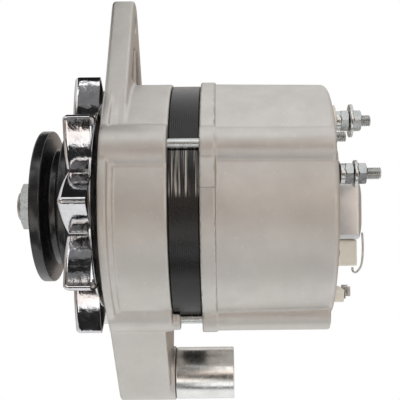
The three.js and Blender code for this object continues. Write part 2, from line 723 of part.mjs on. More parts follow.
// ---------- regulator and brushes ----------

const padStart = rearFace + fitGap;
const padEnd = padStart + padThickness;
const coverStart = padEnd + fitGap;
const crown = coverStart + coverDepth;

function roundedPlate(y0, y1, z0, z1, radius) {
  const shape = new THREE.Shape();
  shape.absarc(y1 - radius, z1 - radius, radius, 0, Math.PI / 2, false);
  shape.absarc(y0 + radius, z1 - radius, radius, Math.PI / 2, Math.PI, false);
  shape.absarc(y0 + radius, z0 + radius, radius, Math.PI, 1.5 * Math.PI, false);
  shape.absarc(y1 - radius, z0 + radius, radius, 1.5 * Math.PI, 2 * Math.PI, false);
  return shape;
}

// The brush holder is one moulding: a pad on the rear wall, a raised block below the cover
// and an arm that reaches in through the wall to the slip rings.
function brushHolder() {
  const padLip = 1;
  const armStart = ringMiddles[0] - brushThickness / 2 - 2;
  const pad = slab(roundedPlate(-coverHalf - padLip, coverHalf + padLip, holderBottom, coverTop + padLip,
    coverCorner), padStart, padEnd, 2);
  const [[y0, z0], [y1]] = screwPlaces;
  const bridge = slab(roundedPlate(y0 - bridgeHalf, y1 + bridgeHalf, z0 - bridgeHalf, z0 + bridgeHalf,
    coverCorner), padStart, padEnd - sinkIn, 2);
  const raised = slab(roundedPlate(-raisedHalf, raisedHalf, holderBottom, coverBottom - fitGap, 2),
    padEnd - sinkIn, coverStart + raisedHeight, 2);
  const arm = block(armStart, padStart + sinkIn, -armHalf, armHalf, armLow, armHigh);
  const chambers = ringMiddles.map((middle) => block(middle - brushThickness / 2 - fitGap,
    middle + brushThickness / 2 + fitGap, -brushWidth / 2 - fitGap, brushWidth / 2 + fitGap,
    chamberEnd, 0));
  const holes = screwPlaces.map(([y, z]) =>
    bar(padStart - cutOver, padEnd + cutOver, screwRadius + fitGap, pinSides, y, z));
  return cut(join(pad, bridge, raised, arm), chambers, holes);
}

function regulatorCover() {
  const shape = (inset) => roundedPlate(-coverHalf + inset, coverHalf - inset,
    coverBottom + inset, coverTop - inset, coverCorner);
  const [low, high] = coverSteps;
  const shell = join(slab(shape(0), coverStart, crown - low.below, 2),
    slab(shape(low.inset), crown - low.below - sinkIn, crown - high.below, 2),
    slab(shape(high.inset), crown - high.below - sinkIn, crown, 2));
  return cut(shell, slab(shape(coverSkin), coverStart - cutOver, crown - low.below - coverSkin, 2));
}

// The brush lead loops out over the cover's edge and back up into the raised block.
function regulatorLead() {
  const route = [
    [crown - 0.3, -15.6], [crown - 0.1, -19], [crown, -24], [crown - 0.4, -30], [crown - 1.4, -34],
    [crown - 3.8, -36.6], [crown - 5.4, -35.8], [crown - 5.6, holderBottom - 1],
  ].map(([x, z]) => new THREE.Vector3(x, leadSide, z));
  const round = new THREE.Shape().absarc(0, 0, leadRadius, 0, 2 * Math.PI, false);
  const extrudePath = new THREE.CatmullRomCurve3(route);
  return solidOf(new THREE.ExtrudeGeometry(round, { steps: 18, curveSegments: 4, extrudePath }));
}

const brush = (i) => block(ringMiddles[i] - brushThickness / 2, ringMiddles[i] + brushThickness / 2,
  -brushWidth / 2, brushWidth / 2, brushMiddle - brushLength / 2, brushMiddle + brushLength / 2);

// A coil of round wire between the back of the brush and the end of its chamber.
function brushSpring(i) {
  const top = brushMiddle - brushLength / 2 - fitGap - springWire;
  const bottom = chamberEnd + fitGap + springWire;
  const stepsPerTurn = 6;
  const steps = springTurns * stepsPerTurn;
  const points = Array.from({ length: steps + 1 }, (_, k) => {
    const angle = (k / stepsPerTurn) * 2 * Math.PI;
    return new THREE.Vector3(ringMiddles[i] + springRadius * Math.cos(angle),
      springRadius * Math.sin(angle), top + ((bottom - top) * k) / steps);
  });
  const round = new THREE.Shape().absarc(0, 0, springWire, 0, 2 * Math.PI, false);
  const extrudePath = new THREE.CatmullRomCurve3(points);
  return solidOf(new THREE.ExtrudeGeometry(round, { steps, curveSegments: 3, extrudePath }));
}

const terminalBlock = () => block(padStart, padStart + tabBlock.thickness, ...tabBlock.y, ...tabBlock.z);

// Two blades that stand on one plate. Each blade rises past the plate's upper edge.
function spadeTerminal() {
  const start = padStart + tabBlock.thickness + fitGap;
  const end = start + tabPlate.thickness;
  const half = tabBlade.thickness / 2;
  const blades = tabBlade.sides.map((y) =>
    block(start, end + tabBlade.length, y - half, y + half, ...tabBlade.z));
  return join(block(start, end, ...tabPlate.y, ...tabPlate.z), blades);
}

// ---------- fasteners ----------

function throughBolt([y, z]) {
  const front = frontDepth - boltGrip;
  const seat = rearFace - boltHeadHeight - boltSink + fitGap;
  const end = seat + boltHeadHeight;
  return join(bar(front, seat + sinkIn, boltRadius, pinSides, y, z),
    cut(bar(seat, end, boltHeadRadius, pinSides, y, z),
      hexBar(seat + boltSocketFloor, end + cutOver, boltSocket, y, z)));
}

function regulatorScrew([y, z]) {
  const seat = padEnd - sinkIn + fitGap;
  return turned([
    [rearInner + fitGap, 0], [rearInner + fitGap, screwRadius], [seat, screwRadius],
    [seat, screwHead.radius], [seat + screwHead.skirt, screwHead.radius],
    [seat + screwHead.height, screwHead.top], [seat + screwHead.height, 0],
  ], pinSides).translate([0, y, z]);
}

const pulleyNut = () => {
  const start = pulleyFront - springWasherThickness - 2 * fitGap - nutHeight;
  return cut(hexBar(start, start + nutHeight, nutFlats).intersect(turned([
    [start, 0], [start, nutFlats / 2], [start + nutCrown, nutFlats / 2 + nutCorner],
    [start + nutHeight, nutFlats / 2 + nutCorner], [start + nutHeight, 0],
  ], midSides)), bar(start - cutOver, start + nutHeight + cutOver, threadRadius + fitGap, midSides));
};

function pivotBush() {
  const start = 0.5; // behind the foot's face
  const bevel = 0.6;
  const end = lugDepth + bushCollarLength;
  return turned([
    [start, bushBoreRadius], [start, bushShankRadius], [lugDepth + fitGap, bushShankRadius],
    [lugDepth + fitGap, bushCollarRadius], [end - bevel, bushCollarRadius],
    [end, bushCollarRadius - bevel], [end, bushBoreRadius],
  ], midSides).translate([0, pivotSide, -pivotDrop]);
}

// ---------- assembly ----------

const alternator = new THREE.Group();
const machine = new THREE.Group(); // everything that is placed from the rotor axis
machine.position.set(0, -pivotSide, pivotDrop);
alternator.add(machine);

const castAluminium = [0xb4aea9, 0.55, 0.85];
const steel = [0xb9bab8, 0.3, 1];
const chrome = [0xd8d9dc, 0.08, 1];
const zincSteel = [0xc9c8c2, 0.28, 1];
const blackIron = [0x1f1f20, 0.5, 0.4];
const blackPaint = [0x1c1c1e, 0.25, 0.2];
const poleSteel = [0x55575a, 0.5, 0.9];
const copper = [0xa65a32, 0.35, 1];
const rubber = [0x17181a, 0.8, 0];
const creamPlastic = [0xd9d3bf, 0.5, 0];
const blackPlastic = [0x232427, 0.5, 0];
const carbon = [0x2b2b2c, 0.7, 0.1];
const greyWire = [0x8d8f91, 0.45, 0.5];
const plateAluminium = [0x9b9fa3, 0.45, 0.9];

function place(name, solid, [color, roughness, metalness]) {
  const material = new THREE.MeshStandardMaterial({ color, roughness, metalness });
  const mesh = new THREE.Mesh(geometryOf(solid), material);
  mesh.name = name;
  machine.add(mesh);
}

place('front_bracket', frontBracket(), castAluminium);
place('rear_bracket', rearBracket(), castAluminium);
place('stator_core', statorCore(), blackIron);
place('stator_winding', statorWinding(), copper);
place('pivot_bush', pivotBush(), zincSteel);
bolts.forEach((where, i) => place(`through_bolt_${i + 1}`, throughBolt(where), zincSteel));

const front = bearingParts(frontBearing, bearingSeat);
const rear = bearingParts(rearBearing, rearPocket);
place('front_bearing_outer_race', front.outerRace, steel);
place('front_bearing_inner_race', front.innerRace, steel);
place('front_ball_cage', front.cage, steel);
place('rear_bearing_outer_race', rear.outerRace, steel);
place('rear_bearing_inner_race', rear.innerRace, steel);
place('rear_ball_cage', rear.cage, steel);

const retainerStart = bearingSeat + frontBearing.width + 2 * fitGap;
place('bearing_retainer', tube(retainerStart, retainerStart + retainerThickness,
  frontBearing.outer + hubWall - fitGap, frontBearing.outer - retainerReach, midSides), zincSteel);
place('rotor_shaft', rotorShaft(), steel);
place('front_claw_pole', clawHalf(1, 0), poleSteel);
place('rear_claw_pole', clawHalf(-1, 180 / polePairs), poleSteel);
place('field_coil', fieldCoil(), copper);
place('slip_ring_sleeve', slipRingSleeve(), blackPlastic);
[0, 1].forEach((i) => place(`slip_ring_${i + 1}`, slipRing(i), copper));
place('fan_spacer', tube(fanRear + fitGap, bearingSeat - fitGap, spacerRadius, shaftCoreRadius,
  smallSides), steel);
place('fan', fan(), chrome);
place('pulley', pulley(), blackPaint);
place('spring_washer', tube(pulleyFront - fitGap - springWasherThickness, pulleyFront - fitGap,
  springWasherRadius, threadRadius + fitGap, midSides), zincSteel);
place('pulley_nut', pulleyNut(), zincSteel);

const passHole = studRadius + 2; // clears a stud that only passes through a plate
const leadHole = 3; // clears a diode's lead
place('positive_heat_sink', heatSink(plusPlateStart, plusDiodeAngles, [
  ...minusDiodeAngles.map((angle) => [...polar(diodeCircle, angle), leadHole]),
  [...battery.place, studRadius + fitGap], [...phase.place, passHole], [...lamp.place, passHole],
]), plateAluminium);
place('negative_heat_sink', heatSink(minusPlateStart, minusDiodeAngles,
  [battery, phase, lamp].map((terminal) => [...terminal.place, passHole])), plateAluminium);
plusDiodeAngles.forEach((angle, i) =>
  place(`positive_diode_${i + 1}`, diode(angle, plusPlateStart), steel));
minusDiodeAngles.forEach((angle, i) =>
  place(`negative_diode_${i + 1}`, diode(angle, minusPlateStart), steel));
place('exciter_diode_board', exciterBoard(), blackPlastic);

const fieldStart = boardStart + boardThickness + fitGap; // where the field studs start
place('b_plus_stud', stud(battery, plusPlateStart - 1), zincSteel);
place('b_plus_insulator', bushing(battery), creamPlastic);
place('d_plus_stud', stud(lamp, fieldStart), zincSteel);
place('d_plus_insulator', bushing(lamp), rubber);
place('w_stud', stud(phase, fieldStart), zincSteel);
place('w_insulator', bushing(phase), creamPlastic);
[['b_plus', battery], ['d_plus', lamp]].forEach(([name, terminal]) => {
  const { inner, ring, outer } = stackStarts(terminal);
  place(`${name}_inner_nut`, nut(terminal.place, inner), zincSteel);
  place(`${name}_washer`, washer(terminal.place, ring, terminal.washer), zincSteel);
  place(`${name}_outer_nut`, nut(terminal.place, outer), zincSteel);
});

place('brush_holder', brushHolder(), creamPlastic);
place('regulator_cover', regulatorCover(), plateAluminium);
place('regulator_lead', regulatorLead(), greyWire);
screwPlaces.forEach((where, i) => place(`regulator_screw_${i + 1}`, regulatorScrew(where), zincSteel));
[0, 1].forEach((i) => {
  place(`brush_${i + 1}`, brush(i), carbon);
  place(`brush_spring_${i + 1}`, brushSpring(i), steel);
});
place('terminal_block', terminalBlock(), creamPlastic);
place('spade_terminal', spadeTerminal(), zincSteel);

export default alternator;
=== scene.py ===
"""Looks of a car alternator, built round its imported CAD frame.

Every length in the classes is in millimetres, in the rotor's frame: X along the rotor axis
towards the rear terminals, Y away from the camera side, Z up from the rotor axis. A piece is
moved into the CAD frame, in metres, when its mesh is made.
"""

import json
import logging
import math
from collections.abc import Callable, Sequence
from dataclasses import dataclass, field
from enum import Enum

import bpy
import numpy as np
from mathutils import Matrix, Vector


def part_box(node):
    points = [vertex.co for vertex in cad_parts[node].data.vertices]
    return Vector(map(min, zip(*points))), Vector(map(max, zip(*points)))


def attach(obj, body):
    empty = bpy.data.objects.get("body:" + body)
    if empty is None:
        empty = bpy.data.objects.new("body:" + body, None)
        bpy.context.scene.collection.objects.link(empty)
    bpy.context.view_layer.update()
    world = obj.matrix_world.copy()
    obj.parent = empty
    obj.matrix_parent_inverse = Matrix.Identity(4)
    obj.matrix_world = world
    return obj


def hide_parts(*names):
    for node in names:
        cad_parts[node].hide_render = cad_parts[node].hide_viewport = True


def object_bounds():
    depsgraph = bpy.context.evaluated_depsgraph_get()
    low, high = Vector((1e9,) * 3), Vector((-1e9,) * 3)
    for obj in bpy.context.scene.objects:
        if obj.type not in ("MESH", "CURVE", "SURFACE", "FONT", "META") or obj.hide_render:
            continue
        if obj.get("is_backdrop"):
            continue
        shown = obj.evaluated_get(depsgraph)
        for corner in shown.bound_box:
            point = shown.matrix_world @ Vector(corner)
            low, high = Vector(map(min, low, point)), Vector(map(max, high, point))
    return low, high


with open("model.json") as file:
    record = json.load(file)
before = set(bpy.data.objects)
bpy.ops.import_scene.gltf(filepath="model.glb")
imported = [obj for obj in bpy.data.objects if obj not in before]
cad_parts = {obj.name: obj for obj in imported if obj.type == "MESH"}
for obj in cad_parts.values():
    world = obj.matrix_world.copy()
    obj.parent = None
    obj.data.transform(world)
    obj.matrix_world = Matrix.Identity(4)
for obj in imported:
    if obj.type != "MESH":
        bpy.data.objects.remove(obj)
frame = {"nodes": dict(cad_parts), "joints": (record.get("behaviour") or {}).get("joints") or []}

logging.basicConfig(level=logging.INFO, format="%(message)s")
LOG = logging.getLogger("alternator")

CAD_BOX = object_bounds()
MM = 0.001
ROTOR_AXIS = next(j for j in frame["joints"] if j["name"] == "rotor_spin")["pos_m"]
AXIS_Y, AXIS_Z = ROTOR_AXIS[1] / MM, ROTOR_AXIS[2] / MM

Array = np.ndarray
Profile = Sequence[tuple[float, float]]
Field = Callable[[Array, Array, Array], Array]
Socket = bpy.types.NodeSocket
Tree = bpy.types.NodeTree


class Body(Enum):
    """The CAD bodies that pieces ride on."""

    HOUSING = "housing"
    ROTOR = "rotor"


def span(node: str, axis: int) -> tuple[float, float]:
    """Lowest and highest place of a CAD node along one axis, in the rotor's frame."""
    low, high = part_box(node)
    shift = (0.0, AXIS_Y, AXIS_Z)[axis]
    return low[axis] / MM - shift, high[axis] / MM - shift


def middle(node: str) -> tuple[float, float]:
    """Middle of a CAD node's box in the Y-Z plane, in the rotor's frame."""
    return sum(span(node, 1)) / 2, sum(span(node, 2)) / 2


# ---------------------------------------------------------------- colour and shader helpers


def linear(code: str) -> tuple[float, float, float, float]:
    """Turns an sRGB hex colour to linear light.

    Args:
        code: Six hex digits.

    Returns:
        Linear red, green, blue and an alpha of 1.
    """
    parts = [int(code[i : i + 2], 16) / 255 for i in (0, 2, 4)]
    steps = [c / 12.92 if c <= 0.04045 else ((c + 0.055) / 1.055) ** 2.4 for c in parts]
    return (steps[0], steps[1], steps[2], 1.0)


def add_node(tree: Tree, kind: str, settings: dict | None = None,
             links: dict | None = None) -> bpy.types.Node:
    """Adds one shader node with its settings and links.

    Args:
        tree: The tree that the node joins.
        kind: Blender's name of the node type.
        settings: Values by property name, or by input name or number.
        links: Output sockets by the name or number of the input that they feed.

    Returns:
        The new node.
    """
    node = tree.nodes.new(kind)
    for key, value in (settings or {}).items():
        if isinstance(key, str) and hasattr(node, key):
            setattr(node, key, value)
        else:
            node.inputs[key].default_value = value
    for key, socket in (links or {}).items():
        tree.links.new(socket, node.inputs[key])
    return node


def per_metre(millimetres: float) -> float:
    """Noise scale whose cells are about this many millimetres across."""
    return 1.0 / (millimetres * MM)


# A Mix node's inputs and output for colours are picked by number, because its names repeat.
MIX_FACTOR, MIX_A, MIX_B, MIX_OUT = 0, 6, 7, 2


@dataclass(frozen=True)
class Finish:
    """A surface finish with soft blotches of tone, a fine grain and uneven gloss.

    The base class covers every finish that needs no pattern of its own.
    """

    name: str
    light: str
    dark: str
    metallic: float
    roughness: float
    rough_spread: float = 0.05
    blotch_mm: float = 14.0
    grain_mm: float = 0.6
    grain_depth: float = 0.02
    stretch: tuple[float, float, float] = (1.0, 1.0, 1.0)
    coat: float = 0.0
    coat_roughness: float = 0.05
    ior: float = 1.5
    slot: str = ""

    def make(self) -> bpy.types.Material:
        """Builds the material, or returns it if it is there already."""
        if self.name in bpy.data.materials:
            return bpy.data.materials[self.name]
        material = bpy.data.materials.new(self.name)
        material.use_nodes = True
        tree = material.node_tree
        tree.nodes.clear()
        place = add_node(tree, "ShaderNodeTexCoord").outputs["Object"]
        mapped = add_node(tree, "ShaderNodeMapping", {"Scale": self.stretch}, {"Vector": place})
        place = mapped.outputs["Vector"]
        settings = {"Metallic": self.metallic, "Coat Weight": self.coat}
        settings["Coat Roughness"] = self.coat_roughness
        if self.metallic < 1:
            settings["IOR"] = self.ior
        links = {
            "Base Color": self.colour(tree, place),
            "Roughness": self.gloss(tree, place),
            "Normal": self.relief(tree, place),
        }
        shader = add_node(tree, "ShaderNodeBsdfPrincipled", settings, links)
        add_node(tree, "ShaderNodeOutputMaterial", {}, {"Surface": shader.outputs["BSDF"]})
        return material

    def colour(self, tree: Tree, place: Socket) -> Socket:
        """Soft blotches between the two tones.

        Args:
            tree: The material's node tree.
            place: Where a point of the surface lies, in metres.

        Returns:
            The colour.
        """
        settings = {"Scale": per_metre(self.blotch_mm), "Detail": 5.0, "Roughness": 0.6}
        noise = add_node(tree, "ShaderNodeTexNoise", settings, {"Vector": place})
        limits = {"From Min": 0.3, "From Max": 0.7}
        share = add_node(tree, "ShaderNodeMapRange", limits, {"Value": noise.outputs["Fac"]})
        tones = {"data_type": "RGBA", MIX_A: linear(self.dark), MIX_B: linear(self.light)}
        mix = add_node(tree, "ShaderNodeMix", tones, {MIX_FACTOR: share.outputs["Result"]})
        return mix.outputs[MIX_OUT]

    def gloss(self, tree: Tree, place: Socket) -> Socket:
        """Roughness that wanders about its middle value.

        Args:
            tree: The material's node tree.
            place: Where a point of the surface lies, in metres.

        Returns:
            The roughness.
        """
        settings = {"Scale": per_metre(self.blotch_mm / 3), "Detail": 4.0}
        noise = add_node(tree, "ShaderNodeTexNoise", settings, {"Vector": place})
        limits = {"From Min": 0.25, "From Max": 0.75}
        limits["To Min"] = self.roughness - self.rough_spread
        limits["To Max"] = self.roughness + self.rough_spread
        spread = add_node(tree, "ShaderNodeMapRange", limits, {"Value": noise.outputs["Fac"]})
        return spread.outputs["Result"]

    def relief(self, tree: Tree, place: Socket) -> Socket:
        """A fine grain on the surface.

        Args:
            tree: The material's node tree.
            place: Where a point of the surface lies, in metres.

        Returns:
            The bumped normal.
        """
        settings = {"Scale": per_metre(self.grain_mm), "Detail": 3.0}
        noise = add_node(tree, "ShaderNodeTexNoise", settings, {"Vector": place})
        settings = {"Strength": 0.5, "Distance": self.grain_depth * MM}
        bump = add_node(tree, "ShaderNodeBump", settings, {"Height": noise.outputs["Fac"]})
        return bump.outputs["Normal"]


@dataclass(frozen=True)
class CastFinish(Finish):
    """Die-cast metal: the base finish with small pale flecks and a slow warm and cool drift."""

    fleck: str = "ebe8e4"
    fleck_mm: float = 1.6
    drift: str = "cfcdc6"
    drift_mm: float = 55.0

    def colour(self, tree: Tree, place: Socket) -> Socket:
        """Blotches, then the slow drift, then sparse flecks of bare bright metal.

        Args:
            tree: The material's node tree.
            place: Where a point of the surface lies, in metres.

        Returns:
            The colour.
        """
        base = super().colour(tree, place)
        settings = {"Scale": per_metre(self.drift_mm), "Detail": 1.0}
        slow = add_node(tree, "ShaderNodeTexNoise", settings, {"Vector": place})
        limits = {"From Min": 0.45, "From Max": 0.7, "To Max": 0.5}
        share = add_node(tree, "ShaderNodeMapRange", limits, {"Value": slow.outputs["Fac"]})
        tones = {"data_type": "RGBA", MIX_B: linear(self.drift)}
        links = {MIX_FACTOR: share.outputs["Result"], MIX_A: base}
        drifted = add_node(tree, "ShaderNodeMix", tones, links).outputs[MIX_OUT]
        settings = {"Scale": per_metre(self.fleck_mm), "Detail": 2.0}
        fine = add_node(tree, "ShaderNodeTexNoise", settings, {"Vector": place})
        limits = {"From Min": 0.66, "From Max": 0.76, "To Max": 0.4}
        share = add_node(tree, "ShaderNodeMapRange", limits, {"Value": fine.outputs["Fac"]})
        tones = {"data_type": "RGBA", MIX_B: linear(self.fleck)}
        links = {MIX_FACTOR: share.outputs["Result"], MIX_A: drifted}
        return add_node(tree, "ShaderNodeMix", tones, links).outputs[MIX_OUT]


@dataclass(frozen=True)
class LaminatedFinish(Finish):
    """Varnished sheet steel edges: sheet lines along X and a patch scraped to bright metal."""

    sheet_mm: float = 1.0
    sheet_depth: float = 0.12
    scrape: str = "c9c4bd"
    scrape_place: tuple[float, float] = (-60.0, 16.0)
    scrape_radius: float = 13.0

    def colour(self, tree: Tree, place: Socket) -> Socket:
        """Black varnish, with streaks of bare metal in the scraped patch.

        Args:
            tree: The material's node tree.
            place: Where a point of the surface lies, in metres.

        Returns:
            The colour.
        """
        base = super().colour(tree, place)
        y, z = self.scrape_place
        centre = (0.0, (y + AXIS_Y) * MM, (z + AXIS_Z) * MM)
        flat = add_node(tree, "ShaderNodeMapping", {"Scale": (0.0, 1.0, 1.0)}, {"Vector": place})
        links = {0: flat.outputs["Vector"]}
        away = add_node(tree, "ShaderNodeVectorMath", {"operation": "DISTANCE", 1: centre}, links)
        limits = {"From Min": self.scrape_radius * 0.75 * MM, "From Max": self.scrape_radius * MM}
        limits |= {"To Min": 1.0, "To Max": 0.0}
        patch = add_node(tree, "ShaderNodeMapRange", limits, {"Value": away.outputs["Value"]})
        squash = {"Scale": (1.0, 0.02, 0.02)}
        along = add_node(tree, "ShaderNodeMapping", squash, {"Vector": place}).outputs["Vector"]
        settings = {"Scale": per_metre(0.9), "Detail": 3.0}
        streaks = add_node(tree, "ShaderNodeTexNoise", settings, {"Vector": along})
        limits = {"From Min": 0.5, "From Max": 0.64}
        lines = add_node(tree, "ShaderNodeMapRange", limits, {"Value": streaks.outputs["Fac"]})
        links = {0: patch.outputs["Result"], 1: lines.outputs["Result"]}
        both = add_node(tree, "ShaderNodeMath", {"operation": "MULTIPLY"}, links)
        tones = {"data_type": "RGBA", MIX_B: linear(self.scrape)}
        links = {MIX_FACTOR: both.outputs["Value"], MIX_A: base}
        return add_node(tree, "ShaderNodeMix", tones, links).outputs[MIX_OUT]

    def relief(self, tree: Tree, place: Socket) -> Socket:
        """The edges of the sheets, as shallow rounded ridges across X.

        Args:
            tree: The material's node tree.
            place: Where a point of the surface lies, in metres.

        Returns:
            The bumped normal.
        """
        turns = 2 * math.pi / (20 * self.sheet_mm * MM)
        settings = {"bands_direction": "X", "Scale": turns, "Distortion": 0.0}
        wave = add_node(tree, "ShaderNodeTexWave", settings, {"Vector": place})
        settings = {"Strength": 0.6, "Distance": self.sheet_depth * MM}
        bump = add_node(tree, "ShaderNodeBump", settings, {"Height": wave.outputs["Fac"]})
        return bump.outputs["Normal"]


@dataclass(frozen=True)
class TurnedFinish(Finish):
    """Bright metal with fine marks that run round the piece, so highlights break into lines."""

    mark_mm: float = 0.35
    mark_depth: float = 0.012

    def relief(self, tree: Tree, place: Socket) -> Socket:
        """Fine marks across X, uneven in depth.

        Args:
            tree: The material's node tree.
            place: Where a point of the surface lies, in metres.

        Returns:
            The bumped normal.
        """
        squash = {"Scale": (1.0, 0.06, 0.06)}
        along = add_node(tree, "ShaderNodeMapping", squash, {"Vector": place}).outputs["Vector"]
        settings = {"Scale": per_metre(self.mark_mm), "Detail": 2.0}
        noise = add_node(tree, "ShaderNodeTexNoise", settings, {"Vector": along})
        settings = {"Strength": 0.5, "Distance": self.mark_depth * MM}
        bump = add_node(tree, "ShaderNodeBump", settings, {"Height": noise.outputs["Fac"]})
        return bump.outputs["Normal"]


# Pressure die-cast aluminium, tumbled: a warm silver grey with a soft satin sheen.
CAST = CastFinish("die_cast_aluminium", "d9d6d2", "cbc7c3", 1.0, 0.5, 0.05, 22.0, 0.5, 0.015,
                  slot="cast_aluminium")
# Laminated sheet steel in black varnish: dark, with fine sheet lines and one patch rubbed to bare metal.
LAMINATED = LaminatedFinish("varnished_lamination_stack", "191919", "0e0e0e", 0.0, 0.25, 0.06, 9.0,
                            coat=0.15, coat_roughness=0.15, ior=1.45, slot="core_steel")
# Bright nickel plate on pressed steel: a mirror that shows the surroundings in black and white.
CHROME = Finish("bright_plated_pressed_steel", "e4e4e6", "c9c8cc", 1.0, 0.08, 0.04, 12.0, 5.0, 0.25,
                slot="chromed_steel")
# Zinc-plated turned steel: bright, with fine turned marks that break up its highlights.
ZINC = TurnedFinish("zinc_plated_steel", "d2d4d3", "bfc1bf", 1.0, 0.24, 0.06, 5.0,
                    slot="plated_steel")
# Zinc-plated bush: wider turned marks than the small fasteners, so its bands stay soft.
BUSH_ZINC = TurnedFinish("zinc_plated_bush_steel", "f0f0ee", "e2e2df", 1.0, 0.25, 0.05, 9.0,
                         mark_mm=0.5, slot="plated_steel")
# Ground bearing steel: neutral and clean.
GROUND = TurnedFinish("ground_bearing_steel", "c6c6c5", "b4b4b3", 1.0, 0.2, 0.05, 6.0,
                      slot="bearing_steel")
# Forged rotor steel: dull and dark.
FORGED = Finish("forged_pole_steel", "5c5d60", "3d3e41", 0.9, 0.5, 0.08, 8.0, slot="pole_steel")
# Black stoved lacquer on the pulley: near black, with wide soft highlights under a thin gloss.
LACQUER = Finish("black_stoved_lacquer", "1f1e1f", "161516", 0.0, 0.28, 0.07, 11.0, 0.8, 0.02,
                 coat=0.5, coat_roughness=0.16, slot="black_pulley_paint")
# Rolled aluminium sheet: cool and satin, brighter than the castings.
SHEET = Finish("satin_aluminium_sheet", "e3e5e6", "d5d7d8", 1.0, 0.34, 0.05, 10.0, 0.3, 0.01,
               slot="plate_aluminium")
# Enamelled copper wire: deep orange under varnish.
COPPER = Finish("enamelled_copper_wire", "8a4a22", "6a3516", 0.7, 0.35, 0.06, 4.0, 1.2, 0.25,
                coat=0.5, slot="copper_winding")
# Turned copper of the slip rings: bright and warm.
RING_COPPER = TurnedFinish("turned_ring_copper", "c98a66", "b5724c", 1.0, 0.22, 0.05, 4.0,
                           slot="ring_copper")
# Black moulded plastic: dark with a soft sheen.
BLACK_PLASTIC = Finish("black_moulded_plastic", "26272a", "1c1d20", 0.0, 0.45, 0.05, 6.0, 0.3, 0.02,
                       slot="black_plastic")
# Glass-filled cream plastic: pale and matt, with faint mottling.
CREAM = Finish("cream_glass_filled_plastic", "fbf9f0", "f2efe2", 0.0, 0.5, 0.05, 5.0, 0.4, 0.02,
               slot="cream_plastic")
# Moulded rubber: almost black and matt.
RUBBER = Finish("moulded_black_rubber", "1d1e20", "151618", 0.0, 0.7, 0.06, 6.0, 0.5, 0.03,
                slot="black_rubber")
# Pressed carbon: matt dark grey.
CARBON = Finish("pressed_carbon", "333333", "242424", 0.1, 0.6, 0.06, 3.0, 0.3, 0.03,
                slot="brush_carbon")
# Thin tinned copper braid: pale grey and a little shiny.
BRAID = Finish("tinned_copper_braid", "e0e1e0", "c6c7c7", 0.8, 0.4, 0.05, 1.5, 0.3, 0.05,
               slot="grey_wire")
# Black flag cloth: it takes light away without a sheen.
FLAG = Finish("black_flag_cloth", "141414", "0e0e0e", 0.0, 0.9, 0.05, 30.0, 1.0, 0.02)


# ---------------------------------------------------------------- meshes


@dataclass
class Shape:
    """Points and faces, with a normal for each point where the shape knows it."""

    points: Array
    faces: list
    normals: Array | None = None

    def moved(self, x: float = 0.0, y: float = 0.0, z: float = 0.0) -> "Shape":
        """The same shape, moved."""
        return Shape(self.points + np.array([x, y, z]), self.faces, self.normals)

    def swung(self, degrees: float) -> "Shape":
        """The same shape, turned about the rotor axis."""
        c, s = math.cos(math.radians(degrees)), math.sin(math.radians(degrees))
        turn = np.array([[1, 0, 0], [0, c, -s], [0, s, c]])
        return Shape(self.points @ turn.T, self.faces)

    def plus(self, *others: "Shape") -> "Shape":
        """This shape and others as one mesh of several shells."""
        points, faces, start = [self.points], list(self.faces), len(self.points)
        for other in others:
            points.append(other.points)
            faces.extend([tuple(i + start for i in f) for f in other.faces])
            start += len(other.points)
        return Shape(np.concatenate(points), faces)


def make_piece(name: str, shape: Shape, finish: Finish, body: Body, nodes: Sequence[str],
               crease: float = 32.0) -> bpy.types.Object:
    """Makes a piece from a shape, dresses it and ties it to the CAD frame.

    Args:
        name: Name of the piece.
        shape: Its mesh, in the rotor's frame.
        finish: Its material.
        body: The CAD body that it rides on.
        nodes: The CAD nodes that it replaces.
        crease: Edges sharper than this many degrees stay sharp.

    Returns:
        The new object.
    """
    mesh = bpy.data.meshes.new(name)
    places = (shape.points + np.array([0.0, AXIS_Y, AXIS_Z])) * MM
    mesh.from_pydata(places.tolist(), [], shape.faces)
    mesh.materials.append(finish.make())
    mesh.validate()
    mesh.shade_smooth()
    if shape.normals is not None and len(mesh.vertices) == len(shape.normals):
        mesh.normals_split_custom_set_from_vertices(shape.normals.tolist())
    else:
        mesh.set_sharp_from_angle(angle=math.radians(crease))
    obj = bpy.data.objects.new(name, mesh)
    bpy.context.scene.collection.objects.link(obj)
    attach(obj, body.value)
    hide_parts(*nodes)
    LOG.info("%s: %d faces, %s", name, len(mesh.polygons), finish.name)
    return obj


def dress_node(node: str, finish: Finish) -> None:
    """Gives a CAD node that is kept as it is a finish and smooth shading.

    Args:
        node: Its name.
        finish: Its material.
    """
    obj = frame["nodes"][node]
    obj.data.materials.clear()
    obj.data.materials.append(finish.make())
    obj.data.shade_smooth()
    obj.data.set_sharp_from_angle(angle=math.radians(32))
    LOG.info("%s: kept from the CAD, %s", node, finish.name)


def rounded(profile: Profile, radius: float, steps: int = 4) -> list[tuple[float, float]]:
    """Rounds the corners of a closed profile that are off the axis.

    Args:
        profile: Corners as (x, radius), in order.
        radius: Radius of every corner, less where its edges are short.
        steps: Points along each corner, less one.

    Returns:
        The finer profile.
    """
    out = []
    corners = [np.array(p, float) for p in profile]
    for i, here in enumerate(corners):
        before, after = corners[i - 1], corners[(i + 1) % len(corners)]
        a, b = before - here, after - here
        reach = min(np.hypot(*a), np.hypot(*b)) * 0.45
        if here[1] <= 0 or reach == 0:
            out.append(tuple(here))
            continue
        a, b = a / np.hypot(*a), b / np.hypot(*b)
        half = math.acos(max(-1.0, min(1.0, float(a @ b)))) / 2
        if half > math.radians(85):
            out.append(tuple(here))
            continue
        back = min(radius / math.tan(half), reach)
        for k in range(steps + 1):
            t = k / steps
            point = (1 - t) ** 2 * (here + a * back) + 2 * t * (1 - t) * here + t * t * (here + b * back)
            out.append(tuple(point))
    return out


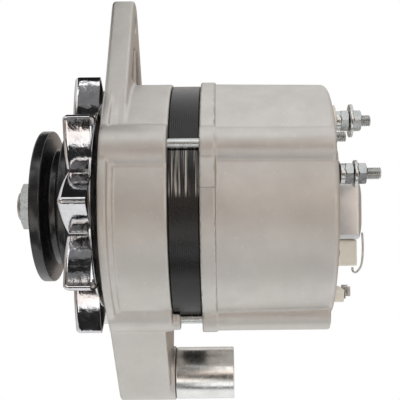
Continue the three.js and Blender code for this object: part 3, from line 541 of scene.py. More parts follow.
def turned(profile: Profile, sides: int | Array = 96, form: Callable | None = None) -> Shape:
    """Turns a closed profile about the X axis.

    Args:
        profile: Points as (x, radius), in order; a radius of 0 lies on the axis.
        sides: How many steps round the axis, or the angles themselves.
        form: Reshapes the radius from (x, angle, radius), for hexagons, threads and slots.

    Returns:
        The closed surface.
    """
    angles = np.arange(sides) * 2 * math.pi / sides if isinstance(sides, int) else np.asarray(sides)
    count = len(angles)
    points, faces, rows = [], [], []
    for x, r in profile:
        if r <= 0:
            rows.append([len(points)] * count)
            points.append((x, 0.0, 0.0))
            continue
        radii = np.full(count, float(r)) if form is None else form(x, angles, np.full(count, float(r)))
        rows.append(list(range(len(points), len(points) + count)))
        points.extend(zip([x] * count, radii * np.cos(angles), radii * np.sin(angles)))
    for row, following in zip(rows, rows[1:] + rows[:1]):
        for i in range(count):
            j = (i + 1) % count
            corners = dict.fromkeys((row[i], row[j], following[j], following[i]))
            if len(corners) > 2:
                faces.append(tuple(corners))
    return Shape(np.array(points), faces)


def hexagon(flats: float) -> Callable:
    """A form that keeps the radius inside a hexagon.

    Args:
        flats: Width across the flats.

    Returns:
        The form, for a turned profile.
    """

    def form(x: float, angles: Array, radii: Array) -> Array:
        """Cuts the six flats, away from the bore."""
        around = (angles % (math.pi / 3)) - math.pi / 6
        return np.minimum(radii, np.where(radii < flats * 0.4, radii, flats / 2 / np.cos(around)))

    return form


def nut_shape(start: float, height: float, flats: float, bore: float) -> Shape:
    """A hexagon nut along X, with turned corners on both faces and a chamfered bore.

    Args:
        start: Its front face.
        height: Its length along X.
        flats: Width across the flats.
        bore: Radius of its hole.

    Returns:
        The closed surface.
    """
    ease, end = 0.5, start + height
    low, corner = flats * 0.48, flats / math.sqrt(3)
    crown = (corner - low) * 0.5
    rise = [(crown * t, low + (corner - low) * t) for t in (0, 0.25, 0.5, 0.75, 1)]
    profile = [(start + ease, bore), (start, bore + ease), (start, flats * 0.46)]
    profile += [(start + x, radius) for x, radius in rise]
    profile += [(end - x, radius) for x, radius in reversed(rise)]
    profile += [(end, flats * 0.46), (end, bore + ease), (end - ease, bore)]
    return turned(profile, 72, hexagon(flats))


def threaded_bar(start: float, tip: float, radius: float, pitch: float, plain: float) -> Shape:
    """A round bar along X with a screw thread up to its tip.

    Args:
        start: Where the bar starts.
        tip: Where it ends, above or below the start.
        radius: Outside of the thread.
        pitch: Of the thread.
        plain: Length at the start with no thread.

    Returns:
        The closed surface.
    """
    way = 1 if tip > start else -1
    depth = 0.6 * pitch
    bevel = 0.9 * depth
    length = abs(tip - start)
    count = max(int((length - plain) / (pitch / 6)), 6)
    along = np.linspace(plain, length - bevel, count)
    profile = [(start, 0.0), (start, radius), (start + way * plain * 0.99, radius)]
    profile += [(start + way * a, radius) for a in along]
    profile += [(tip, radius - bevel), (tip, 0.0)]

    def form(x: float, angles: Array, radii: Array) -> Array:
        """Sinks the thread's groove, which winds along the bar."""
        gone = abs(x - start) - plain
        if gone < 0 or radii[0] < radius:
            return radii
        phase = (gone / pitch - way * angles / (2 * math.pi)) % 1.0
        fade = min(gone / pitch, 1.0)
        return radii - depth * fade * np.abs(2 * phase - 1)

    return turned(profile, 28, form)


def rounded_block(low: Sequence[float], high: Sequence[float], radius: float, crown: float = 0.0) -> Shape:
    """A block with rounded edges along X and at its outer face.

    Args:
        low: Lowest corner.
        high: Highest corner.
        radius: Of its upright edges.
        crown: How far the face at the high end of X bulges past its rim.

    Returns:
        The closed surface.
    """
    x0, x1 = low[0], high[0]
    centre = ((low[1] + high[1]) / 2, (low[2] + high[2]) / 2)
    half = ((high[1] - low[1]) / 2, (high[2] - low[2]) / 2)
    steps = 8
    ease = min(radius * 0.5, (x1 - x0 - crown) * 0.3)
    shoulder = x1 - crown
    rings = [(x0, 0.0)]
    rings += [(shoulder - ease * (1 - math.sin(t)), ease * (1 - math.cos(t))) for t in np.linspace(0, 1.4, 5)]
    rim_x, rim_inset = rings[-1]
    reach = min(half) - 0.4
    for share in (0.25, 0.5, 0.75, 1.0):
        rise = (x1 - rim_x) * math.sin(share * math.pi / 2)
        rings.append((rim_x + rise, rim_inset + (reach - rim_inset) * share))
    points = []
    for x, inset in rings:
        r = max(radius - inset, 0.3)
        for quarter, (sy, sz) in enumerate([(1, 1), (-1, 1), (-1, -1), (1, -1)]):
            for k in range(steps):
                angle = math.pi / 2 * (quarter + k / (steps - 1))
                y = centre[0] + sy * max(half[0] - inset - r, 0.02) + r * math.cos(angle)
                z = centre[1] + sz * max(half[1] - inset - r, 0.02) + r * math.sin(angle)
                points.append((x, y, z))
    count = 4 * steps
    faces = [tuple(range(count - 1, -1, -1)), tuple(range((len(rings) - 1) * count, len(rings) * count))]
    for row in range(len(rings) - 1):
        for i in range(count):
            j = (i + 1) % count
            faces.append((row * count + i, row * count + j, (row + 1) * count + j, (row + 1) * count + i))
    return Shape(np.array(points), faces)


def tube_along(route: Array, radius: float, sides: int = 12, fine: int = 6) -> Shape:
    """A round wire along a smooth line through the given points.

    Args:
        route: The points, in order.
        radius: Of the wire.
        sides: Points round it.
        fine: Steps from one point of the route to the next.

    Returns:
        The closed surface.
    """
    route = np.asarray(route, float)
    padded = np.vstack([2 * route[0] - route[1], route, 2 * route[-1] - route[-2]])
    line = []
    for i in range(1, len(padded) - 2):
        p0, p1, p2, p3 = padded[i - 1 : i + 3]
        for t in np.linspace(0, 1, fine, endpoint=False):
            line.append(0.5 * (2 * p1 + (p2 - p0) * t + (2 * p0 - 5 * p1 + 4 * p2 - p3) * t**2
                               + (3 * p1 - p0 - 3 * p2 + p3) * t**3))
    line = np.array(line + [route[-1]])
    ahead = np.gradient(line, axis=0)
    ahead /= np.linalg.norm(ahead, axis=1)[:, None]
    side = np.array([0.0, 1.0, 0.0])
    points = []
    for place, way in zip(line, ahead):
        across = side - way * (side @ way)
        across /= np.linalg.norm(across)
        up = np.cross(way, across)
        for k in range(sides):
            a = 2 * math.pi * k / sides
            points.append(place + radius * (math.cos(a) * across + math.sin(a) * up))
    faces = [tuple(range(sides - 1, -1, -1)), tuple(range(len(points) - sides, len(points)))]
    for row in range(len(line) - 1):
        for i in range(sides):
            j = (i + 1) % sides
            faces.append((row * sides + i, row * sides + j, (row + 1) * sides + j, (row + 1) * sides + i))
    return Shape(np.array(points), faces)


# ---------------------------------------------------------------- distance fields for castings


def meet(a: Array, b: Array, radius: float) -> Array:
    """Distance to the overlap of two solids, with its edge rounded."""
    if radius <= 0:
        return np.maximum(a, b)
    over = np.hypot(np.maximum(a + radius, 0), np.maximum(b + radius, 0))
    return np.minimum(np.maximum(a, b) + radius, 0) + over - radius


def fuse(a: Array, b: Array, radius: float) -> Array:
    """Distance to two solids joined, with a fillet between them."""
    return -meet(-a, -b, radius)


def carve(a: Array, b: Array, radius: float) -> Array:
    """Distance to the first solid with the second taken out of it."""
    return meet(a, -b, radius)


def between(x: Array, x0: float, x1: float) -> Array:
    """Distance to the slab between two planes."""
    return np.maximum(x0 - x, x - x1)


def disc(y: Array, z: Array, cy: float, cz: float, radius: float) -> Array:
    """Distance to a round bar along X."""
    return np.hypot(y - cy, z - cz) - radius


def polygon(y: Array, z: Array, corners: Profile) -> Array:
    """Signed distance to a closed outline in the Y-Z plane.

    Args:
        y: First coordinate of the points.
        z: Second coordinate.
        corners: The outline, in order.

    Returns:
        The distance, negative inside.
    """
    best = np.full(y.shape, np.inf)
    inside = np.zeros(y.shape, bool)
    points = [np.array(p, float) for p in corners]
    for a, b in zip(points, points[1:] + points[:1]):
        edge = b - a
        share = np.clip(((y - a[0]) * edge[0] + (z - a[1]) * edge[1]) / (edge @ edge), 0, 1)
        best = np.minimum(best, np.hypot(y - a[0] - share * edge[0], z - a[1] - share * edge[1]))
        if edge[1] != 0:
            crosses = (a[1] > z) != (b[1] > z)
            inside ^= crosses & (y < edge[0] * (z - a[1]) / edge[1] + a[0])
    return np.where(inside, -best, best)


def skin_of(solid: Field, low: Sequence[float], high: Sequence[float], step: float) -> Shape:
    """Wraps a distance field in a mesh of squares, one point to each cell that it crosses.

    Args:
        solid: Distance to the solid from (x, y, z), negative inside.
        low: Lowest corner of the space to search.
        high: Highest corner.
        step: Size of a cell.

    Returns:
        The surface, with normals from the field's own slope.
    """
    axes = [np.arange(a, b + step, step) for a, b in zip(low, high)]
    grid = np.meshgrid(*axes, indexing="ij")
    value = solid(*grid)
    value[value == 0] = 1e-9
    inside = value < 0
    cells = [n - 1 for n in value.shape]
    total = np.zeros((*cells, 3))
    count = np.zeros(cells)
    for axis in range(3):
        others = [i for i in range(3) if i != axis]
        lower = [slice(None)] * 3
        upper = [slice(None)] * 3
        lower[axis], upper[axis] = slice(0, -1), slice(1, None)
        v0, v1 = value[tuple(lower)], value[tuple(upper)]
        changes = inside[tuple(lower)] != inside[tuple(upper)]
        share = np.where(changes, v0 / np.where(changes, v0 - v1, 1), 0)
        for first in (0, 1):
            for second in (0, 1):
                part = [slice(None)] * 3
                part[others[0]] = slice(first, first + cells[others[0]])
                part[others[1]] = slice(second, second + cells[others[1]])
                here = changes[tuple(part)]
                count += here
                total[..., axis] += np.where(here, share[tuple(part)], 0)
                total[..., others[0]] += np.where(here, first, 0)
                total[..., others[1]] += np.where(here, second, 0)
    active = count > 0
    number = np.full(cells, -1)
    number[active] = np.arange(active.sum())
    corner = np.argwhere(active)
    points = np.array(low) + (corner + total[active] / count[active][:, None]) * step
    quads = []
    for axis in range(3):
        b, c = (axis + 1) % 3, (axis + 2) % 3
        lower = [slice(1, -1)] * 3
        upper = [slice(1, -1)] * 3
        lower[axis], upper[axis] = slice(0, -1), slice(1, None)
        start, stop = inside[tuple(lower)], inside[tuple(upper)]
        at = np.argwhere(start != stop)
        leaving = start[tuple(at.T)]
        base = at + 1
        base[:, axis] -= 1
        ring = []
        for db, dc in ((1, 1), (0, 1), (0, 0), (1, 0)):
            cell = base.copy()
            cell[:, b] -= db
            cell[:, c] -= dc
            ring.append(number[tuple(cell.T)])
        ring = np.stack(ring, axis=1)
        quads.append(np.where(leaving[:, None], ring, ring[:, ::-1]))
    faces = np.concatenate(quads)
    nudge = 0.04
    for _ in range(3):
        slope, here = slope_of(solid, points, nudge)
        move = here[:, None] * slope / np.maximum((slope**2).sum(1), 0.25)[:, None]
        points = points - np.clip(move, -step / 2, step / 2)
    slope, _ = slope_of(solid, points, nudge * 4)
    normals = slope / np.maximum(np.linalg.norm(slope, axis=1), 1e-6)[:, None]
    return Shape(points, faces.tolist(), normals)


def slope_of(solid: Field, points: Array, nudge: float) -> tuple[Array, Array]:
    """Slope and value of a distance field at some points.

    Args:
        solid: The field.
        points: Where to measure it.
        nudge: How far each side to look.

    Returns:
        The slope and the value at each point.
    """
    slope = np.empty_like(points)
    for axis in range(3):
        shift = np.zeros(3)
        shift[axis] = nudge
        ahead, behind = points + shift, points - shift
        slope[:, axis] = (solid(*ahead.T) - solid(*behind.T)) / (2 * nudge)
    return slope, solid(*points.T)


# ---------------------------------------------------------------- sub-assemblies


def around(angle: float, radius: float) -> tuple[float, float]:
    """Y and Z of a point at an angle, in degrees from +Y towards +Z, round the rotor axis."""
    return radius * math.cos(math.radians(angle)), radius * math.sin(math.radians(angle))


@dataclass
class Castings:
    """Sizes that the two brackets share."""

    core: float = 62.7
    bolt_angles: tuple[float, ...] = (153.3, 243.3, 333.3, 63.3)
    bolt_circle: float = 63.6
    bolt_hole: float = 2.8
    front_edge: float = 31.7
    rear_edge: float = 46.6
    bracket: float = 63.8
    lap: float = 59.8
    cavity: float = 58.0
    cell: float = 1.0

    def bolts(self) -> list[tuple[float, float]]:
        """Places of the four through bolts."""
        return [around(angle, self.bolt_circle) for angle in self.bolt_angles]


@dataclass
class FrontBracket(Castings):
    """The drive end: a short drum with a foot below, an ear on top and four bolt bosses."""

    edge_round: float = 1.0
    flange: float = 66.8
    flange_end: float = 4.2
    step_radius: float = 65.0
    step_end: float = 6.6
    wall: float = 4.5
    hub: float = 24.5
    hub_end: float = 15.3
    pocket: float = 20.3
    seal: float = 16.3
    pivot: tuple[float, float] = (15.8, -93.1)
    foot_angles: tuple[float, float] = (-143.0, -42.0)
    foot_radius: float = 14.6
    foot_end: float = 28.0
    lug_end: float = 30.5
    bush_hole: float = 10.3
    ear_height: float = 96.6
    ear_radius: float = 12.4
    ear_end: float = 11.4
    ear_hole: float = 4.3
    ear_web: float = 4.4
    ear_rib: float = 3.4
    boss_radius: float = 12.2
    boss_circle: float = 57.5
    boss_tab: float = 4.0
    windows: int = 10

    def build(self) -> None:
        """Builds the bracket and dresses it."""
        spans = [span("front_bracket", axis) for axis in range(3)]
        low, high = [pair[0] - 1.5 for pair in spans], [pair[1] + 1.5 for pair in spans]
        shape = skin_of(self.solid, low, high, self.cell)
        make_piece("front_bracket_casting", shape, CAST, Body.HOUSING, ["front_bracket"])

    def solid(self, x: Array, y: Array, z: Array) -> Array:
        """Distance to the casting.

        Args:
            x: Place along the rotor axis.
            y: Place across.
            z: Height.

        Returns:
            The distance, negative inside.
        """
        r = np.hypot(y, z)
        drum = meet(r - self.bracket, between(x, 0, self.front_edge), self.edge_round)
        rim = meet(r - self.flange, between(x, 0, self.flange_end), 1.2)
        step = meet(r - self.step_radius, between(x, 0, self.step_end), 0.9)
        solid = fuse(fuse(drum, step, 0.9), rim, 1.0)
        for i, angle in enumerate(self.bolt_angles):
            by, bz = around(angle, self.boss_circle)
            boss = meet(disc(y, z, by, bz, self.boss_radius), between(x, 0.3, self.front_edge), 1.2)
            solid = fuse(solid, boss, 0.9)
            if i == 1:
                ty, tz = around(angle, self.bolt_circle)
                end = self.front_edge + self.boss_tab
                tab = meet(disc(y, z, ty, tz, 5.6), between(x, 20, end), 0.8)
                solid = fuse(solid, meet(tab, self.core + 0.3 - r, 0.3), 1.0)
        solid = fuse(solid, self.foot(x, y, z), 1.0)
        solid = fuse(solid, self.ear(x, y, z), 1.6)
        solid = self.hollow(solid, x, y, z, r)
        for by, bz in self.bolts():
            hole = meet(disc(y, z, by, bz, self.bolt_hole), 7.7 - x, 0)
            solid = carve(solid, hole, 0.4)
        py, pz = self.pivot
        return carve(solid, disc(y, z, py, pz, self.bush_hole), 0.5)

    def foot(self, x: Array, y: Array, z: Array) -> Array:
        """The foot: a block that narrows to the round pivot lug.

        Args:
            x: Place along the rotor axis.
            y: Place across.
            z: Height.

        Returns:
            The distance, negative inside.
        """
        py, pz = self.pivot
        near, far = [around(angle, self.bracket - 1) for angle in self.foot_angles]
        corners = [(0.0, -20.0), near]
        for (sy, sz), side in ((near, 1), (far, -1)):
            away = math.atan2(sz - pz, sy - py)
            lean = math.acos(self.foot_radius / math.hypot(sy - py, sz - pz))
            turn = away + side * lean
            corners.append((py + self.foot_radius * math.cos(turn), pz + self.foot_radius * math.sin(turn)))
        corners.append(far)
        block = np.minimum(polygon(y, z, corners), disc(y, z, py, pz, self.foot_radius))
        block = meet(block, between(x, 0.0, self.foot_end), 1.5)
        lug = meet(disc(y, z, py, pz, self.foot_radius), between(x, 5.0, self.lug_end), 0.8)
        return np.minimum(block, lug)

    def ear(self, x: Array, y: Array, z: Array) -> Array:
        """The strap ear: a tapering plate with two pockets behind and a hole in its tip.

        Args:
            x: Place along the rotor axis.
            y: Place across.
            z: Height.

        Returns:
            The distance, negative inside.
        """
        top, tip, root = self.ear_height, self.ear_radius, self.bracket - 1
        lean = math.acos((root - tip) / top)
        cy, cz = math.sin(lean), math.cos(lean)
        corners = [(-root * cy, root * cz), (-tip * cy, top + tip * cz), (tip * cy, top + tip * cz),
                   (root * cy, root * cz), (0.0, 0.0)]
        plate = np.minimum(polygon(y, z, corners), disc(y, z, 0, top, tip))
        plate = meet(plate, between(x, 0.0, self.ear_end), 1.3)
        low, high, wide = self.bracket + 1, top - tip - 1, 2 * tip
        for side in (-1, 1):
            pocket = [(side * self.ear_rib / 2, low), (side * (wide - self.ear_rib), low),
                      (side * (tip - self.ear_rib), high), (side * self.ear_rib / 2, high)]
            hollow = meet(polygon(y, z, pocket), self.ear_web - x, 0.6)
            plate = carve(plate, hollow, 0.6)
        return carve(plate, disc(y, z, 0, top, self.ear_hole), 0.5)

    def hollow(self, solid: Array, x: Array, y: Array, z: Array, r: Array) -> Array:
        """Takes out the cavity, the lap over the core, the bearing seat and the air windows.

        Args:
            solid: Distance to the casting so far.
            x: Place along the rotor axis.
            y: Place across.
            z: Height.
            r: Distance from the rotor axis.

        Returns:
            The distance to what is left.
        """
        inside = meet(r - self.cavity, self.wall - x, 0.8)
        lap = meet(r - self.lap, self.front_edge - 4 - x, 0)
        behind = meet(r - self.core - 0.3, self.front_edge - x, 0)
        solid = carve(carve(carve(solid, inside, 0.4), lap, 0.3), behind, 0)
        hub = meet(r - self.hub, between(x, 0.0, self.hub_end), 0.8)
        solid = fuse(solid, hub, 1.5)
        solid = carve(solid, meet(r - self.pocket, 2.7 - x, 0), 0.3)
        solid = carve(solid, r - self.seal, 0.5)
        pitch = 360 / self.windows
        turn = np.degrees(np.arctan2(z, y)) % pitch - pitch / 2
        side = (np.abs(turn) - pitch * 0.3) * np.radians(1.0) * r
        window = meet(meet(self.hub + 5 - r, r - 49, 2.5), side, 2.5)
        return carve(solid, meet(window, x - self.wall - 2, 0), 0.8)


@dataclass
class RearBracket(Castings):
    """The slip-ring end: a deep drum, closed at the back, with a flange and four bosses."""

    flange: float = 64.7
    flange_end: float = 53.9
    face: float = 111.5
    inner_face: float = 107.5
    taper: float = 0.9
    corner: float = 3.0
    boss_radius: float = 8.8
    boss_circle: float = 60.8
    boss_end: float = 110.0
    head_seat: float = 106.0
    head_hole: float = 4.5
    hub: float = 20.5
    hub_start: float = 98.5
    pocket: float = 16.3
    pocket_end: float = 108.8
    vents: tuple[float, ...] = (188, 206, 318, 336, 354, 12, 30, 48)
    vent_span: float = 11.0
    brush_window: tuple[float, float, float] = (7.6, -32.6, -22.4)
    lug: tuple[float, float] = (8.0, 30.0)
    lug_rise: float = 1.6

    def build(self) -> None:
        """Builds the bracket and dresses it."""
        spans = [span("rear_bracket", axis) for axis in range(3)]
        low, high = [pair[0] - 1.5 for pair in spans], [pair[1] + 1.5 for pair in spans]
        shape = skin_of(self.solid, low, high, self.cell)
        make_piece("rear_bracket_casting", shape, CAST, Body.HOUSING, ["rear_bracket"])

    def solid(self, x: Array, y: Array, z: Array) -> Array:
        """Distance to the casting.

        Args:
            x: Place along the rotor axis.
            y: Place across.
            z: Height.

        Returns:
            The distance, negative inside.
        """
        r = np.hypot(y, z)
        drum = r - self.bracket + self.taper * (x - self.rear_edge) / (self.face - self.rear_edge)
        solid = meet(drum, x - self.face, self.corner)
        for i, angle in enumerate(self.bolt_angles):
            by, bz = around(angle, self.boss_circle)
            boss = meet(disc(y, z, by, bz, self.boss_radius), x - self.boss_end, 1.0)
            solid = fuse(solid, boss, 1.1)
        solid = fuse(solid, meet(r - self.flange, x - self.flange_end, 0.5), 0.4)
        for angle in self.bolt_angles:
            by, bz = around(angle, self.boss_circle)
            pad = meet(disc(y, z, by, bz, self.boss_radius + 0.7), x - self.flange_end, 0.5)
            if angle == self.bolt_angles[0]:
                low, high = self.lug
                tab = meet(r - self.flange - self.lug_rise, between(z, low, high), 0.8)
                tab = meet(np.maximum(tab, y), x - self.flange_end, 0.5)
                pad = np.minimum(pad, meet(tab, self.core - r, 0.3))
            solid = fuse(solid, pad, 1.0)
        solid = meet(solid, self.rear_edge - x, 0.5)
        inner = r - self.bracket + self.taper + 3.2
        cavity = meet(meet(r - self.cavity, inner, 0), x - self.inner_face, 1.0)
        lap = meet(r - self.lap, x - self.rear_edge - 4, 0)
        solid = carve(carve(solid, cavity, 0.3), lap, 0.3)
        hub = meet(r - self.hub, between(x, self.hub_start, self.face - 1), 0.6)
        solid = fuse(solid, hub, 1.2)
        solid = carve(solid, meet(r - self.pocket, x - self.pocket_end, 0), 0.3)
        turn = np.degrees(np.arctan2(z, y))
        for start in self.vents:
            off = np.abs((turn - start - self.vent_span / 2 + 180) % 360 - 180) - self.vent_span / 2
            slot = meet(meet(23.5 - r, r - 54.7, 1.5), off * np.radians(1.0) * r, 1.5)
            solid = carve(solid, meet(slot, self.inner_face - 2 - x, 0), 0.5)
        return self.drill(solid, x, y, z)

    def drill(self, solid: Array, x: Array, y: Array, z: Array) -> Array:
        """Takes out the bolt holes, the terminal holes, the brush window and the screw holes.

        Args:
            solid: Distance to the casting so far.
            x: Place along the rotor axis.
            y: Place across.
            z: Height.

        Returns:
            The distance to what is left.
        """
        for by, bz in self.bolts():
            solid = carve(solid, disc(y, z, by, bz, self.bolt_hole), 0.3)
            solid = carve(solid, meet(disc(y, z, by, bz, self.head_hole), self.head_seat - x, 0), 0.4)
        through = self.inner_face - 1.5 - x
        for node, radius in (("b_plus_stud", 5.0), ("d_plus_stud", 5.0), ("w_stud", 5.0)):
            ty, tz = middle(node)
            solid = carve(solid, meet(disc(y, z, ty, tz, radius), through, 0), 0.3)
        half, low, high = self.brush_window
        window = np.maximum(np.abs(y) - half, between(z, low, high))
        solid = carve(solid, meet(window, through, 0), 0.4)
        for node in ("regulator_screw_1", "regulator_screw_2"):
            sy, sz = middle(node)
            solid = carve(solid, meet(disc(y, z, sy, sz, 2.4), through, 0), 0.3)
        return solid


@dataclass
class StatorPack(Castings):
    """The bare laminated core between the brackets, with grooves for the bolts."""

    bore: float = 45.6
    slot_depth: float = 8.0
    slot_width: float = 6.0
    slots: int = 24
    register: float = 59.5
    groove: float = 3.1
    start: float = 28.0
    end: float = 50.3

    def build(self) -> None:
        """Builds the core and dresses it."""
        lip = 0.3
        front, rear = self.front_edge + lip, self.rear_edge - lip
        profile = [(self.start, self.bore), (self.start, self.register), (front, self.register),
                   (front, self.core - 0.4), (front + 0.4, self.core), (rear - 0.4, self.core),
                   (rear, self.core - 0.4), (rear, self.register), (self.end, self.register),
                   (self.end, self.bore)]
        shape = turned(profile, self.angles(), self.form)
        make_piece("stator_lamination_pack", shape, LAMINATED, Body.HOUSING, ["stator_core"])

    def angles(self) -> Array:
        """Steps round the core, closer at the slots' sides and in the bolt grooves."""
        even = np.linspace(0, 2 * math.pi, 192, endpoint=False)
        half = math.asin(self.slot_width / 2 / (self.bore + 4))
        extra = []
        for i in range(self.slots):
            middle_angle = 2 * math.pi * (i + 0.5) / self.slots
            extra += [middle_angle - half - 1e-3, middle_angle - half + 1e-3,
                      middle_angle + half - 1e-3, middle_angle + half + 1e-3]
        for angle in self.bolt_angles:
            wide = math.asin(self.groove / self.bolt_circle)
            extra += list(math.radians(angle) + np.linspace(-wide, wide, 13))
        return np.unique(np.round(np.concatenate([even, np.array(extra) % (2 * math.pi)]), 5))

    def form(self, x: float, angles: Array, radii: Array) -> Array:
        """Opens the slots in the bore and the grooves in the outside.

        Args:
            x: Place along the axis; not used.
            angles: Angles round it.
            radii: The profile's radius at each angle.

        Returns:
            The new radii.
        """
        if radii[0] < self.register - 1:
            pitch = 2 * math.pi / self.slots
            off = np.abs(angles % pitch - pitch / 2)
            half = math.asin(self.slot_width / 2 / (self.bore + 4))
            return np.where(off < half, radii + self.slot_depth, radii)
        for angle in self.bolt_angles:
            off = (angles - math.radians(angle) + math.pi) % (2 * math.pi) - math.pi
            side = self.bolt_circle * np.sin(off)
            depth = np.sqrt(np.maximum(self.groove**2 - side**2, 0))
            floor = self.bolt_circle * np.cos(off) - depth
            near = (np.abs(side) < self.groove) & (np.abs(off) < 0.3)
            radii = np.where(near, np.minimum(radii, floor), radii)
        return radii


@dataclass
class FanPressing:
    """The cooling fan: a plate whose rim is cut and folded up into ten scoops."""

    blades: int = 10
    phase: float = 16.0
    bore: float = 8.5
    plate_thickness: float = 1.2
    plate_radius: float = 54.0
    root: float = 50.0
    ridge: float = 69.5
    slit: float = 0.02
    thickness: float = 1.2
    lip: float = 2.6
    lip_turn: float = 62.0
    fold_round: float = 0.045

    def build(self) -> None:
        """Builds the pressing as one piece and dresses it."""
        front, rear = span("fan", 0)
        face = rear - self.plate_thickness
        corners = [(rear, self.bore), (face, self.bore), (face, self.plate_radius), (rear, self.plate_radius)]
        plate = turned(rounded(corners, 0.4), 120)
        scoop = self.scoop(front, rear)
        pitch = 360 / self.blades
        shape = plate.plus(*[scoop.swung(pitch * i + self.phase) for i in range(self.blades)])
        make_piece("fan_pressing", shape, CHROME, Body.ROTOR, ["fan"], 40)

    def outline(self, share: float) -> float:
        """Radius of a scoop's skin at a share of the pitch, with a rounded fold."""
        off = abs(share - 0.5)
        steep = (self.ridge - self.root) / (0.5 - self.slit)
        ease = max(self.fold_round - off, 0) ** 2 / (2 * self.fold_round) * steep
        return self.ridge - steep * off - ease

    def scoop(self, front: float, rear: float) -> Shape:
        """One folded scoop as a sheet with thickness, its front edge rolled in.

        Args:
            front: Where the scoop's front edge stands.
            rear: Where it meets the plate.

        Returns:
            The closed sheet.
        """
        even = np.linspace(self.slit, 1 - self.slit, 17)
        shares = np.unique(np.concatenate([even, 0.5 + np.linspace(-1, 1, 7) * self.fold_round]))
        pitch = 360 / self.blades
        line = np.array([around(pitch * s, self.outline(s)) for s in shares])
        ahead = np.gradient(line, axis=0)
        ahead /= np.linalg.norm(ahead, axis=1)[:, None]
        inward = np.stack([-ahead[:, 1], ahead[:, 0]], axis=1)
        turn = math.radians(self.lip_turn)
        spring = front + self.lip * math.sin(turn)
        outer, inner = [], []
        for place, way in zip(line, inward):
            row_out = [(x, *place) for x in (rear, rear - 0.4, spring + 0.4)]
            row_in = [(x, *(place + way * self.thickness)) for x in (rear, rear - 0.4, spring + 0.4)]
            for roll in np.linspace(0, turn, 7):
                x = spring - self.lip * math.sin(roll)
                drop = self.lip * (1 - math.cos(roll))
                row_out.append((x, *(place + way * drop)))
                x_in = x + self.thickness * math.sin(roll)
                row_in.append((x_in, *(place + way * (drop + self.thickness * math.cos(roll)))))
            outer.append(row_out)
            inner.append(row_in)
        return self.closed(np.array(outer), np.array(inner))

    @staticmethod
    def closed(outer: Array, inner: Array) -> Shape:
        """Joins an outer and an inner grid of points into one closed sheet.

        Args:
            outer: Rows of points on the outside.
            inner: The same rows on the inside.

        Returns:
            The closed surface.
        """
        rows, cols = outer.shape[:2]
        points = np.concatenate([outer.reshape(-1, 3), inner.reshape(-1, 3)])
        back = rows * cols
        faces = []
        for i in range(rows - 1):
            for j in range(cols - 1):
                a, b, c, d = i * cols + j, (i + 1) * cols + j, (i + 1) * cols + j + 1, i * cols + j + 1
                faces += [(a, b, c, d), (back + d, back + c, back + b, back + a)]
        for i in range(rows - 1):
            for j in (0, cols - 1):
                a, b = i * cols + j, (i + 1) * cols + j
                faces.append((a, b, back + b, back + a) if j else (b, a, back + a, back + b))
        for j in range(cols - 1):
            for i in (0, rows - 1):
                a, b = i * cols + j, i * cols + j + 1
                faces.append((b, a, back + a, back + b) if i else (a, b, back + b, back + a))
        return Shape(points, faces)


@dataclass
class BeltPulley:
    """A dished steel pulley for one V-belt."""

    front: float = -37.8
    width: float = 18.2
    radius: float = 40.0
    groove_radius: float = 30.5
    groove_middle: float = -28.05
    mouth: float = 8.7
    floor: float = 3.4
    web: float = 8.0
    hub: float = 15.5
    hub_end: float = -6.4
    bore: float = 8.5

    def build(self) -> None:
        """Builds the pulley and dresses it."""
        rear = self.front + self.width
        web = self.front + self.web
        profile = [(self.front, self.bore), (self.front, self.hub), (web, self.hub + 1),
                   (web, self.groove_radius - 6.4), (self.front + 1, 33.0), (self.front, self.radius - 3),
                   (self.front, self.radius), (self.groove_middle - self.mouth / 2, self.radius),
                   (self.groove_middle - self.floor / 2, self.groove_radius),
                   (self.groove_middle + self.floor / 2, self.groove_radius),
                   (self.groove_middle + self.mouth / 2, self.radius), (rear, self.radius),
                   (rear, self.hub), (self.hub_end, self.hub), (self.hub_end, self.bore)]
        shape = turned(rounded(profile, 0.8), 160)
        make_piece("belt_pulley", shape, LACQUER, Body.ROTOR, ["pulley"])


@dataclass
class ShaftNose:
    """The shaft with its threaded nose, the pulley nut and the spring washer below it."""

    lengths: tuple[tuple[float, float, float], ...] = (
        (-37.9, 15.3, 8.2), (15.3, 18.15, 10.7), (18.15, 98.2, 8.5), (98.2, 108.2, 5.7))
    tip: float = -51.3
    thread: float = 8.0
    pitch: float = 1.5
    shoulder: float = -37.8
    nut_flats: float = 24.0
    nut_height: float = 8.0
    washer_radius: float = 13.2
    cut_angle: float = 1.2
    cut_half_angle: float = 4.0
    cut_depth: float = 3.4

    def build(self) -> None:
        """Builds the three pieces and dresses them."""
        profile = [point for start, end, radius in self.lengths for point in ((start, radius), (end, radius))]
        profile = [(profile[0][0], 0), *profile, (profile[-1][0], 0)]
        inner = turned(rounded(profile, 0.4), 48)
        nose = threaded_bar(self.shoulder, self.tip, self.thread, self.pitch, 3.4)
        make_piece("rotor_shaft_ground", inner.plus(nose), GROUND, Body.ROTOR, ["rotor_shaft"])
        start = span("pulley_nut", 0)[0]
        nut = nut_shape(start, self.nut_height, self.nut_flats, self.thread + 0.3)
        make_piece("pulley_hex_nut", nut, ZINC, Body.ROTOR, ["pulley_nut"])
        x0, x1 = span("spring_washer", 0)
        ring = rounded([(x0, self.thread + 0.3), (x0, self.washer_radius), (x1, self.washer_radius),
                        (x1, self.thread + 0.3)], 0.4)
        make_piece("pulley_spring_washer", turned(ring, 72, self.split), ZINC, Body.ROTOR, ["spring_washer"])

    def split(self, x: float, angles: Array, radii: Array) -> Array:
        """Draws the outside in at the washer's cut.

        Args:
            x: Place along the axis; not used.
            angles: Angles round it.
            radii: The profile's radius at each angle.

        Returns:
            The new radii.
        """
        off = np.abs((angles - self.cut_angle + math.pi) % (2 * math.pi) - math.pi)
        near = (off < math.radians(self.cut_half_angle)) & (radii > self.thread + 1)
        return np.where(near, radii - self.cut_depth, radii)


